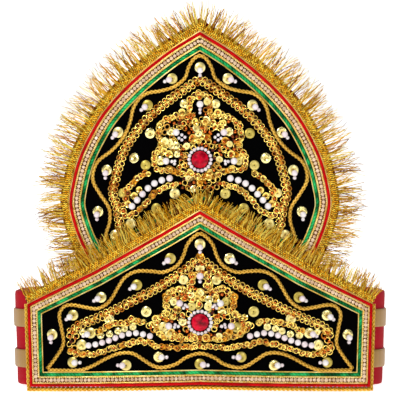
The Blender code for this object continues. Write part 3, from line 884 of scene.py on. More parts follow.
@dataclass(frozen=True)
class Spangle:
    """Plated sequin or bead.

    Args:
        name: the material's name.
        low: colour at part 0: painted shade in a cup's bowl, a disc's middle and a bead's underside.
        high: colour at part 1: painted highlight on the rim and on a bead's top.
        dull: a duller colour that some of them have.
        roughness: of the plating.
        rings: fine rings pressed into the face, to the radius.
        metallic: how much of a metal it is.
    """
    name: str
    low: Colour
    high: Colour
    dull: Colour
    roughness: float = 0.24
    rings: float = 0.0
    metallic: float = 0.85

    def made(self) -> bpy.types.Material:
        """The part mark sets the colour from the painted shade of a bowl or underside to the painted
        highlight of a rim or top, and the tone mark picks the dull ones.
        """
        r = Recipe(self.name)
        part, tone = r.mark("part"), r.mark("tone")
        cloud = r.noise(500.0, 2.0)
        # Painted shade at part 0 and painted highlight at part 1.
        plating_and_painted_light = r.mix(part, self.low, self.high)
        shade = r.mix(r.stretch(tone + cloud * 0.2, 0.7, 1.0, 0.0, 1.0), plating_and_painted_light, self.dull)
        height = cloud * 0.4
        if self.rings:
            height = height + r.maths("SINE", part * (FULL_TURN * self.rings))
        return r.dress(
            Base_Color=shade, Metallic=self.metallic,
            Roughness=r.stretch(tone, 0.0, 1.0, self.roughness - 0.06, self.roughness + 0.14),
            Coat_Weight=0.3, Coat_Roughness=0.1, Normal=r.bump(height, 0.3, 0.05),
        )


@dataclass(frozen=True)
class Pearl:
    """Imitation pearl with a pink cast.

    Args:
        shade: the main colour.
        blush: the pinker colour of some.
    """
    shade: Colour = (0.80, 0.76, 0.76)
    blush: Colour = (0.74, 0.61, 0.65)

    def made(self) -> bpy.types.Material:
        """White to blush by the tone mark and soft clouds, under a clear coat."""
        r = Recipe("pearl_coat")
        cloud = r.noise(380.0, 2.0)
        shade = r.mix(r.stretch(r.mark("tone") + cloud * 0.5, 0.5, 1.4, 0.0, 1.0), self.shade, self.blush)
        return r.dress(Base_Color=shade, Roughness=0.26, Coat_Weight=0.8, Coat_Roughness=0.06,
                       Sheen_Weight=0.15, Normal=r.bump(cloud, 0.08, 0.05))


@dataclass(frozen=True)
class CutStone:
    """Foiled cut stone.

    Args:
        name: the material's name.
        deep: colour of the darker facets, in painted shade.
        bright: colour of the brighter ones: painted reflection.
        metallic: the foil's share.
        roughness: of the facets.
        coat: weight of the clear coat.
        gloss: strength of the facets' white reflections.
        variety: how much the facets differ by painted reflection, against the rim's painted highlight, from 0
            to 1.
    """
    name: str
    deep: Colour
    bright: Colour
    metallic: float = 0.35
    roughness: float = 0.12
    coat: float = 1.0
    gloss: float = 0.5
    variety: float = 0.45

    def made(self) -> bpy.types.Material:
        """Facets differ by the tone mark and the rim is brighter by the part mark: painted reflections in the
        facets and a painted highlight on the rim.
        """
        r = Recipe(self.name)
        value = r.mark("tone") * self.variety + r.mark("part") * (1.0 - self.variety)
        return r.dress(
            Base_Color=r.mix(value, self.deep, self.bright), Metallic=self.metallic,
            Roughness=r.stretch(r.noise(700.0), 0.3, 0.7, self.roughness - 0.04, self.roughness + 0.06),
            Coat_Weight=self.coat, Coat_Roughness=0.03, Specular_IOR_Level=self.gloss,
        )


class Finish(Enum):
    """The crown's finishes."""
    VELVET = Velvet()
    RED_CLOTH = Cloth("red_cloth_weave", (0.22, 0.0, 0.004), (0.56, 0.001, 0.014))
    # The backing is the red cloth made darker: painted shade where it lies behind the fringe.
    SHADED_RED_BACKING = Cloth("red_backing_painted_shade", (0.07, 0.001, 0.001), (0.20, 0.003, 0.004), threads=0.0)
    SATIN = Satin()
    ZARI = Thread("gold_zari_thread", (0.03, 0.003, 0.0), (0.92, 0.40, 0.0), (1.0, 0.82, 0.10),
                  metallic=0.3, spread=0.6, gloss=0.15)
    FRINGE = Thread("gold_fringe_thread", (0.13, 0.010, 0.0), (0.86, 0.41, 0.002), (1.0, 0.90, 0.18),
                    metallic=0.25, roughness=0.28, spread=0.78, gloss=0.12)
    ROPE = Thread("gold_rope_ply", (0.03, 0.003, 0.0), (0.50, 0.22, 0.003), (0.98, 0.66, 0.10),
                  metallic=0.6, roughness=0.34, spread=0.2, gloss=0.15)
    PALE_ZARI = Thread("pale_gold_thread", (0.10, 0.03, 0.001), (0.90, 0.56, 0.10), (1.0, 0.92, 0.46),
                       spread=0.45)
    CORD = Thread("plaited_gold_cord", (0.02, 0.004, 0.0), (0.42, 0.19, 0.006), (0.94, 0.62, 0.13),
                  metallic=0.8, roughness=0.4, spread=0.1, gloss=0.2)
    RED_PIPING = Thread("red_piping_silk", (0.07, 0.0, 0.0), (0.42, 0.0, 0.001), (0.66, 0.004, 0.005),
                        metallic=0.0, roughness=0.6, spread=0.4, gloss=0.08)
    GREEN = Thread("green_metallic_tape", (0.0, 0.003, 0.001), (0.0, 0.11, 0.022), (0.03, 0.55, 0.15),
                   metallic=0.4, roughness=0.4, spread=0.6, gloss=0.1)
    DISC = Spangle("lemon_sequin", (0.72, 0.50, 0.10), (1.0, 0.90, 0.40), (0.52, 0.40, 0.07), 0.26,
                   rings=4.0)
    CUP = Spangle("gold_cup_sequin", (0.42, 0.15, 0.003), (1.0, 0.78, 0.17), (0.62, 0.26, 0.006), 0.22,
                  rings=2.0)
    RING = Spangle("gold_ring_sequin", (0.72, 0.30, 0.01), (1.0, 0.72, 0.14), (0.50, 0.17, 0.004), 0.2)
    BEAD = Spangle("amber_bead", (0.20, 0.022, 0.0), (0.60, 0.13, 0.002), (0.07, 0.005, 0.0), 0.16)
    PEARL = Pearl()
    RHINESTONE = CutStone("pink_rhinestone", (0.50, 0.30, 0.16), (0.98, 0.78, 0.58), 0.15, 0.3,
                          coat=0.25, gloss=0.3)
    RUBY = CutStone("ruby_foiled", (0.07, 0.0, 0.002), (0.74, 0.0, 0.026), 0.0, 0.25, coat=0.05, gloss=0.15,
                    variety=0.8)


def placed(name: str, data: bpy.types.ID) -> bpy.types.Object:
    """A new object in the scene."""
    made = bpy.data.objects.new(name, data)
    bpy.context.scene.collection.objects.link(made)
    return made


class Wardrobe:
    """Makes each finish once and puts meshes into the scene as pieces."""

    def __init__(self) -> None:
        """Start with no material made."""
        self._made: dict[Finish, bpy.types.Material] = {}
        self.triangles = 0

    def material(self, finish: Finish) -> bpy.types.Material:
        """The finish's material, made on first use."""
        if finish not in self._made:
            self._made[finish] = finish.value.made()
        return self._made[finish]

    def piece(self, name: str, shape: Shape, finish: Finish, slot: str, nodes: Sequence[str] = (),
              smooth_faces: bool = True, corner_map: Optional[Array] = None) -> bpy.types.Object:
        """Put a shape in metres into the scene.

        Args:
            name: the piece's name.
            shape: its places in metres.
            finish: its material.
            slot: the record's material slot; not used.
            nodes: the CAD nodes that it stands for.
            smooth_faces: shade smooth, or leave facets.
            corner_map: u, v for each corner in the order of the faces, for a woven finish.

        Returns:
            The new object, riding on the crown's body.
        """
        mesh = bpy.data.meshes.new(name)
        mesh.vertices.add(len(shape.places))
        mesh.vertices.foreach_set("co", shape.places.astype(np.float32).ravel())
        corners = np.concatenate([block.ravel() for block in shape.faces])
        totals = np.concatenate([np.full(len(block), block.shape[1]) for block in shape.faces])
        mesh.loops.add(len(corners))
        mesh.loops.foreach_set("vertex_index", corners.astype(np.int32))
        mesh.polygons.add(len(totals))
        starts = np.cumsum(totals) - totals
        mesh.polygons.foreach_set("loop_start", starts.astype(np.int32))
        mesh.polygons.foreach_set("use_smooth", np.full(len(totals), smooth_faces))
        mesh.update(calc_edges=True)
        for mark in ("part", "tone"):
            layer = mesh.attributes.new(mark, "FLOAT", "POINT")
            layer.data.foreach_set("value", getattr(shape, mark).astype(np.float32))
        if corner_map is not None:
            mesh.uv_layers.new(name="cloth").data.foreach_set("uv", corner_map.astype(np.float32).ravel())
        mesh.validate()
        mesh.materials.append(self.material(finish))
        made = placed(name, mesh)
        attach(made, "root")
        if nodes:
            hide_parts(*nodes)
        count = int(np.sum(totals - 2))
        self.triangles += count
        LOG.info("%s: %d triangles, stands for %s", name, count, ", ".join(nodes) or "nothing")
        return made


def shell(face: Array, depth: float) -> Shape:
    """A sheet: the face's grid, the same grid lowered by depth, and a rim of quads between them.

    Args:
        face: places (rows, columns, 3), rows upwards and columns to +u.
        depth: the sheet's thickness.

    Returns:
        The closed sheet, flat and in millimetres.
    """
    rows, columns = face.shape[:2]
    count = rows * columns
    behind = face - (0.0, 0.0, depth)
    quads = grid_quads(rows, columns, False, False)
    index = np.arange(count).reshape(rows, columns)
    rim = np.concatenate([index[0], index[1:, -1], index[-1, -2::-1], index[-2:0:-1, 0]])
    after = np.roll(rim, -1)
    walls = stacked(rim, rim + count, after + count, after)
    places = np.concatenate([face.reshape(-1, 3), behind.reshape(-1, 3)])
    return Shape(places, [np.concatenate([quads, quads[:, ::-1] + count, walls])],
                 np.full(2 * count, 0.5), np.full(2 * count, 0.5))


def ruled(side: Array, middle: Array, columns: int, lift: float) -> Array:
    """A face between a middle line and a side outline, mirrored: place = middle + |s| (side - middle).

    Args:
        side: the right outline (N, 2) from the foot to the apex.
        middle: the middle line's two ends.
        columns: columns on each half.
        lift: the height w.

    Returns:
        Places (N, 2 columns + 1, 3).
    """
    share = np.linspace(0.0, 1.0, len(side))[:, None]
    centre = middle[0] + (middle[1] - middle[0]) * share
    s = np.linspace(-1.0, 1.0, 2 * columns + 1)
    across = (side[:, :1] - centre[:, :1]) * s[None]
    up = centre[:, 1:] + (side[:, 1:] - centre[:, 1:]) * np.abs(s)[None]
    return stacked(across, up, np.full_like(up, lift))


def cloth_corners(run: Array, heights: Array, rows: int) -> Array:
    """The cloth map of a band's quads, whose columns go round its section.

    Args:
        run: how far along each row of the band lies, with the closing length at the end of a closed one.
        heights: of the columns.
        rows: rows of quads.

    Returns:
        Places on the map (4 N, 2), corner by corner in the order of the reversed quads.
    """
    row, column = np.divmod(np.arange(rows * len(heights)), len(heights))
    after = (column + 1) % len(heights)
    along = run[np.stack([row, row, row + 1, row + 1], axis=1)]
    across = heights[np.stack([column, after, after, column], axis=1)]
    return stacked(along, across)[:, ::-1].reshape(-1, 2)


def weld(piece: bpy.types.Object) -> None:
    """Merge the apex row of a ruled sheet to one point."""
    piece.modifiers.new("weld", "WELD").merge_threshold = 0.002 * MM


@dataclass(frozen=True)
class Stitching:
    """Rows of slanting stitches beside a path; every other row slants the other way.

    Args:
        pitch: from stitch to stitch.
        slant: of a stitch to the path, in degrees.
        skew: how far a slant wanders, in radians.
        size: length, width and height of a stitch.
        spread: the least and the greatest share of that size.
        lift: height over the face.
        rise: the least and the greatest shift of that height.
        tip: how far a stitch tips, in radians.
        facets: steps of a stitch from end to end, and round it.
    """
    pitch: float
    slant: float
    skew: float
    size: tuple[float, float, float]
    spread: tuple[float, float]
    lift: float
    rise: tuple[float, float]
    tip: float
    facets: tuple[int, int]

    def beside(self, path: Array, asides: Sequence[float], face_w: float, closed: bool,
               rng: np.random.Generator) -> list[Shape]:
        """One shape for each row.

        Args:
            path: points (N, 2).
            asides: how far to the left of the path each row lies.
            face_w: the height of the face.
            closed: whether the path is a loop.
            rng: of the random draws.

        Returns:
            The rows of stitches.
        """
        rows = []
        for number, aside in enumerate(asides):
            odd = number % 2 == 1
            flat, angle = places_beside(path, self.pitch, aside, closed, late=odd)
            count = len(flat)
            slant = angle + math.radians(self.slant) * (1.0 if odd else -1.0)
            if self.skew:
                slant = slant + rng.uniform(-self.skew, self.skew, count)
            size = rng.uniform(*self.spread, (count, 1)) * self.size
            lift = face_w + self.lift + rng.uniform(*self.rise, count)
            poses = turns(slant, rng.uniform(-self.tip, self.tip, count),
                          rng.uniform(0.0, FULL_TURN, count))
            # A stitch's part mark runs from its underside to its top: painted shade under it and painted
            # highlight on top.
            stitch = ball(0.5, *self.facets)
            rows.append(scatter(stitch, on_face(flat, lift), poses, size, rng.random(count)))
        return rows


@dataclass(frozen=True)
class Trim:
    """Sizes of the border, in from the panel's outline.

    Args:
        piping: middle line and radius of the red piping.
        stones: middle line of the row of stones.
        green: middle line and radius of the green tape.
        green_flatness: the green tape's height over its width.
        lines: middle lines of the thin gold cords.
        line_radius: their radius.
        stone_radius: of a stone.
        stone_depth: from its back to its table.
        stone_pitch: from stone to stone.
        stitch_rows: how far each row of gold stitches lies from the stones.
        stitching: those stitches.
    """
    piping: tuple[float, float] = (0.78, 0.78)
    stones: float = 3.55
    green: tuple[float, float] = (6.45, 0.95)
    green_flatness: float = 0.62
    lines: tuple[float, ...] = (1.85, 5.25, 7.62)
    line_radius: float = 0.4
    stone_radius: float = 0.98
    stone_depth: float = 0.6
    stone_pitch: float = 2.05
    stitch_rows: tuple[float, ...] = (-1.36, 1.36)
    stitching: Stitching = Stitching(
        pitch=1.02, slant=58.0, skew=0.0, size=(1.15, 0.95, 0.8), spread=(0.85, 1.2), lift=0.62,
        rise=(-0.08, 0.1), tip=0.4, facets=(3, 5),
    )


@dataclass
class Panel:
    """One stiff panel with its border.

    Args:
        prefix: front or back.
        face_w: the height of its face.
        thickness: of the board.
        outline: the border's outline, anticlockwise.
        side: the board's right side from the foot to the apex.
        foot: the middle of the board's foot.
        backing_side: the red backing's right side, which stands out behind the fringe.
        trim: the border's sizes.
        velvet_share: the velvet's share of the thickness.
        joint: the gap between the velvet and the backing.
        columns: columns of a sheet on each half.
    """
    prefix: str
    face_w: float
    thickness: float
    outline: Array
    side: Array
    foot: tuple[float, float]
    backing_side: Array
    trim: Trim = field(default_factory=Trim)
    velvet_share: float = 0.62
    joint: float = 0.02
    columns: int = 40

    def build(self, wardrobe: Wardrobe) -> None:
        """Make the board and its border."""
        self.board(wardrobe)
        self.border(wardrobe)

    def board(self, wardrobe: Wardrobe) -> None:
        """Black velvet over the front part of the thickness, red cloth behind and past the fringe's edge,
        made darker than the head band's cloth as painted shade behind the fringe.
        """
        prefix, depth = self.prefix, self.velvet_share * self.thickness
        face = self.sheet(self.side, self.face_w, depth)
        weld(wardrobe.piece(f"{prefix}_velvet", face, Finish.VELVET, "black_velvet", [f"{prefix}_panel"],
                            smooth_faces=False))
        back = self.sheet(self.backing_side, self.face_w - depth - self.joint,
                          self.thickness - depth - self.joint)
        weld(wardrobe.piece(f"{prefix}_backing", back, Finish.SHADED_RED_BACKING, "red_cloth", smooth_faces=False))

    def sheet(self, side: Array, lift: float, depth: float) -> Shape:
        """A bent sheet from the board's foot up to a side outline, its face at the lift."""
        middle = np.stack([table(self.foot), side[-1]])
        return shell(ruled(side, middle, self.columns, lift), depth).bent()

    def laid(self, cord: Twist, inset: float, lift: float, rng: np.random.Generator) -> Shape:
        """A cord carried round the panel at an inset from its outline."""
        return cord.along(offset(self.outline, inset, True), self.face_w + lift, True, rng)

    def border(self, wardrobe: Wardrobe) -> None:
        """Red piping, green tape, gold lines, and the galloon with its stones."""
        trim, prefix = self.trim, self.prefix
        rng = np.random.default_rng(len(prefix))
        inset, radius = trim.piping
        piping = self.laid(Twist(radius, 2, 0.9, 0.22, step=0.45), inset, radius, rng)
        wardrobe.piece(f"{prefix}_piping", piping.bent(), Finish.RED_PIPING, "red_piping",
                       [f"{prefix}_red_piping"])
        inset, radius = trim.green
        tape = Twist(radius, 2, 1.9, 0.4, sides=10, flatness=trim.green_flatness)
        green = self.laid(tape, inset, trim.green_flatness * radius, rng)
        wardrobe.piece(f"{prefix}_green_tape", green.bent(), Finish.GREEN, "green_metallic",
                       [f"{prefix}_green_trim"])
        line = Twist(trim.line_radius, 2, 0.55, sides=6, step=0.36)
        lines = [self.laid(line, inset, 1.3 * trim.line_radius, rng) for inset in trim.lines]
        wardrobe.piece(f"{prefix}_gold_lines", Shape.joined(lines).bent(), Finish.PALE_ZARI, "galloon")
        self.galloon(wardrobe, offset(self.outline, trim.stones, True), rng)

    def galloon(self, wardrobe: Wardrobe, path: Array, rng: np.random.Generator) -> None:
        """A gold tape, rows of slanting gold stitches, and pale stones down its middle."""
        trim = self.trim
        tape = Tape(3.0, 0.5).along(path, self.face_w + 0.05, True)
        stitches = trim.stitching.beside(path, trim.stitch_rows, self.face_w, True, rng)
        wardrobe.piece(f"{self.prefix}_galloon", Shape.joined([tape, *stitches]).bent(), Finish.PALE_ZARI,
                       "galloon", [f"{self.prefix}_stone_trim"])
        flat, angle = places_beside(path, trim.stone_pitch, 0.0, True)
        count = len(flat)
        gem = cut_stone(trim.stone_radius, trim.stone_depth, 8)
        poses = turns(angle + rng.uniform(-0.5, 0.5, count), rng.uniform(-0.3, 0.3, count),
                      rng.uniform(0.0, FULL_TURN, count))
        stones = scatter(gem, on_face(flat, self.face_w + 0.45), poses, rng.uniform(0.88, 1.08, count),
                         rng.random(count))
        wardrobe.piece(f"{self.prefix}_border_stones", stones.bent(), Finish.RHINESTONE, "galloon",
                       smooth_faces=False)


def cut_stone(radius: float, depth: float, sides: int) -> Shape:
    """A small cut stone: a table, sloping facets to the girdle, and a flat back."""
    profile = table([(0.0, 0.0), (radius, 0.0), (radius, 0.35 * depth), (0.55 * radius, depth), (0.0, depth)])
    # Part marks: brightest at the girdle, darkest on the table: painted highlight and painted shade.
    return turned(profile, sides, table([0.3, 1.0, 0.9, 0.2, 0.2]))


def cut_ruby(radius: float, sides: int) -> Shape:
    """A large cut stone round its own z.

    Its upper facets run between rings of places at the table, the middle and the girdle. The middle ring is
    turned by half a step, so that the facets meet in triangles.
    """
    levels = table([
        # share of the radius, height, shift in steps
        (0.52, 3.45, 0.0), (0.80, 2.85, 0.5), (1.0, 1.9, 0.0), (1.0, 1.45, 0.0), (0.7, 0.3, 0.0),
    ])
    ways = spokes(round_steps(sides, levels[:, 2:]))
    heights = np.broadcast_to(levels[:, 1:2, None], (len(levels), sides, 1))
    rings = np.concatenate([radius * levels[:, :1, None] * ways, heights], axis=-1)
    places = np.vstack([rings.reshape(-1, 3), [(0.0, 0.0, levels[0, 1]), (0.0, 0.0, levels[-1, 1])]])
    c = np.arange(sides)
    n = (c + 1) % sides
    middle, girdle, foot, top = sides, 2 * sides, 4 * sides, 5 * sides
    facets = ((c, middle + c, n), (middle + c, middle + n, n), (girdle + c, girdle + n, middle + c),
              (girdle + n, middle + n, middle + c), (top, c, n), (top + 1, foot + n, foot + c))
    triangles = np.concatenate([np.stack(np.broadcast_arrays(*corners), axis=-1) for corners in facets])
    walls = grid_quads(3, sides, False, True) + girdle
    # The part mark grows to the rim: painted highlight on the rim facets.
    part = np.linalg.norm(places[:, :2], axis=1)
    return Shape(places, [triangles, walls[:, ::-1]], part / part.max(), np.zeros(len(places)))


@dataclass
class Fringe:
    """Gold thread fringe on its braid heading, along an edge that runs from right to left over the apex.

    Args:
        prefix: front or back.
        edge: the panel's edge.
        face_w: the height of the panel's face.
        apex_length: threads at the apex.
        side_length: threads at the sides.
        density: threads to a millimetre of edge.
        clump: width of a clump of threads that close at their tips.
        crinkle: how far a thread wanders to either side.
        seed: of the random draws.
        heading_gap: from the edge to the heading.
        heading_width: of the heading.
        stitch_rows: how far each row of stitches lies from the heading's middle.
        stitching: those stitches.
        root_share: how far across the heading the threads start, as a share of its width.
        fan: how far the threads at the ends lean outwards.
        droop: the least upward part of a thread's way, before it is made a unit.
        thread_steps: places along a thread.
        taper: how much of its radius a thread loses to its tip.
    """
    prefix: str
    edge: Array
    face_w: float
    apex_length: float
    side_length: float
    density: float
    clump: float
    crinkle: float
    seed: int
    heading_gap: float = 0.6
    heading_width: float = 3.6
    stitch_rows: tuple[float, ...] = (-1.3, -0.45, 0.4, 1.25)
    stitching: Stitching = Stitching(
        pitch=1.05, slant=52.0, skew=0.25, size=(1.5, 0.7, 0.8), spread=(0.75, 1.15), lift=0.25,
        rise=(-0.2, 0.2), tip=0.45, facets=(4, 6),
    )
    root_share: float = 0.85
    fan: float = 0.35
    droop: float = -0.05
    thread_steps: int = 7
    taper: float = 0.35

    def build(self, wardrobe: Wardrobe) -> None:
        """Make the heading, the gold line beside it and the threads."""
        rng = np.random.default_rng(self.seed)
        self.heading(wardrobe, rng)
        self.threads(wardrobe, rng)

    def heading(self, wardrobe: Wardrobe, rng: np.random.Generator) -> None:
        """A tape with four rows of stitches laid in a herringbone, and a gold cord along its inner edge."""
        prefix = self.prefix
        middle = offset(self.edge, -self.heading_gap - 0.5 * self.heading_width)
        tape = Tape(self.heading_width, 0.9).along(middle, self.face_w - 0.7, False)
        stitches = self.stitching.beside(middle, self.stitch_rows, self.face_w, False, rng)
        wardrobe.piece(f"{prefix}_heading", Shape.joined([tape, *stitches]).bent(), Finish.ZARI, "gold_zari",
                       [f"{prefix}_fringe_left", f"{prefix}_fringe_right"])
        cord = Twist(0.42, 2, 0.6, 0.28, sides=6, step=0.36)
        line = cord.along(offset(self.edge, -0.3), self.face_w + 0.35, False, rng)
        wardrobe.piece(f"{prefix}_heading_line", line.bent(), Finish.PALE_ZARI, "gold_zari")

    def roots(self, path: Array, reach: Array) -> tuple[Array, Array, Array]:
        """Where threads start, and the way they point: the path's outward normal, fanned out to the ends.

        Args:
            path: the line that the threads start from (N, 2).
            reach: how far along it they start (M,).

        Returns:
            Places (M, 2), ways (M, 2), and how far to the side each lies, from 0 to 1.
        """
        knots = reach_along(path, False)
        place = read_off(reach, knots, path)
        way = -2.0 * unit(read_off(reach, knots, left_normals(path, False)))
        share = np.abs(place[:, 0]) / np.max(np.abs(path[:, 0]))
        way[:, 0] += np.sign(place[:, 0]) * self.fan * share ** 3
        way[:, 1] = np.maximum(way[:, 1], self.droop)
        return place, unit(way), share

    def threads(self, wardrobe: Wardrobe, rng: np.random.Generator) -> None:
        """Threads from the heading's outer edge, gathered in clumps.

        A thread's place at share t is root + way L t + side (pull t^1.6 + wobble t) + w (rise + wobble) t.
        The pull closes a clump at its tip. A thread has three sides.
        """
        path = offset(self.edge, -self.heading_gap - self.root_share * self.heading_width)
        whole = reach_along(path, False)[-1]
        count = int(whole * self.density)
        where = np.sort(rng.uniform(0.0, whole, count))
        clumps = np.arange(0.0, whole + self.clump, self.clump)
        clumps = clumps + rng.uniform(-0.3, 0.3, len(clumps)) * self.clump
        mine = np.argmin(np.abs(where[:, None] - clumps[None]), axis=1)
        clump_lean = rng.normal(0.0, 0.12, len(clumps))
        clump_size = rng.uniform(0.86, 1.1, len(clumps))
        clump_rise = rng.normal(0.0, 0.8, len(clumps))
        place, way, share = self.roots(path, where)
        clump_place, clump_way, _ = self.roots(path, np.clip(clumps, 0.0, whole))

        full = self.apex_length + (self.side_length - self.apex_length) * np.minimum(1.0, 2.0 * share)
        length = full * clump_size[mine] * rng.uniform(0.5, 1.1, count)
        length = length + (1.0 - self.root_share) * self.heading_width
        side = stacked(-way[:, 1], way[:, 0])
        tip = clump_place[mine] + clump_way[mine] * length[:, None]
        pull = np.sum((tip - place) * side, axis=1) * rng.uniform(0.0, 0.75, count)
        pull += (clump_lean[mine] + rng.normal(0.0, 0.17, count)) * length
        t = np.linspace(0.0, 1.0, self.thread_steps)
        waves, start = rng.uniform(0.7, 1.8, (count, 1)), rng.uniform(0.0, FULL_TURN, (count, 1))
        wobble = np.sin(FULL_TURN * waves * t + start)
        wobble = (wobble - wobble[:, :1]) * self.crinkle * rng.uniform(0.3, 1.0, (count, 1))
        across = pull[:, None] * t ** 1.6 + wobble * t
        centre = place[:, None] + way[:, None] * (length[:, None] * t)[..., None]
        centre = centre + side[:, None] * across[..., None]
        rise = self.face_w + rng.uniform(-1.3, 0.4, (count, 1)) + (clump_rise[mine][:, None] + wobble) * t

        spin = rng.uniform(0.0, FULL_TURN, (count, 1, 1))
        spin = spin + rng.normal(0.0, 2.5, (count, 1, 1)) * t[None, :, None]
        radius = (rng.uniform(0.11, 0.2, (count, 1)) * (1.0 - self.taper * t))[..., None]
        ring = round_steps(3)
        a, b = radius * np.cos(ring + spin) * 1.3, radius * np.sin(ring + spin) * 0.7
        flat = centre[:, :, None, :] + side[:, None, None, :] * a[..., None]
        places = np.concatenate([flat, (rise[..., None] + b)[..., None]], axis=-1)
        quads = grid_quads(len(t), 3, False, True)
        starts = (np.arange(count) * 3 * len(t))[:, None, None]
        last = 3 * (len(t) - 1)
        caps = np.array([(2, 1, 0), (last, last + 1, last + 2)])
        part = np.broadcast_to(0.3 + 0.3 * t[None, :, None], (count, len(t), 3))
        shape = Shape(places.reshape(-1, 3),
                      [(quads[None] + starts).reshape(-1, 4), (caps[None] + starts).reshape(-1, 3)],
                      part.reshape(-1), np.repeat(rng.random(count), 3 * len(t)))
        wardrobe.piece(f"{self.prefix}_fringe_threads", shape.bent(), Finish.FRINGE, "gold_zari")


def sewn_shapes() -> dict[str, Shape]:
    """The small shapes that the embroidery is made of, each with a radius of one.

    A disc is a flat sequin with a raised rim, a step, a flat ring and a small hole. A cup is a hollow one:
    its wall rises from a small hole to a thin rim.
    """
    disc = table([(0.10, 0.02), (0.96, 0.0), (1.0, 0.07), (0.94, 0.13), (0.80, 0.11), (0.72, 0.16),
                  (0.52, 0.17), (0.42, 0.12), (0.22, 0.13), (0.12, 0.10)])
    cup = table([(0.20, 0.0), (0.62, 0.10), (0.98, 0.42), (1.0, 0.50), (0.92, 0.50), (0.58, 0.22),
                 (0.22, 0.10)])
    # The part mark is the radius on a disc or a cup and runs from pole to pole on a bead: painted shade at
    # its low end, painted highlight at its high end.
    return {"disc": turned(disc, 18, disc[:, 0]), "cup": turned(cup, 14, cup[:, 0]),
            "ring": hoop(0.8, 0.19, 14, 5), "bead": ball(1.0, 6, 8), "pearl": ball(1.0, 12, 16),
            "seed": ball(1.0, 7, 10)}


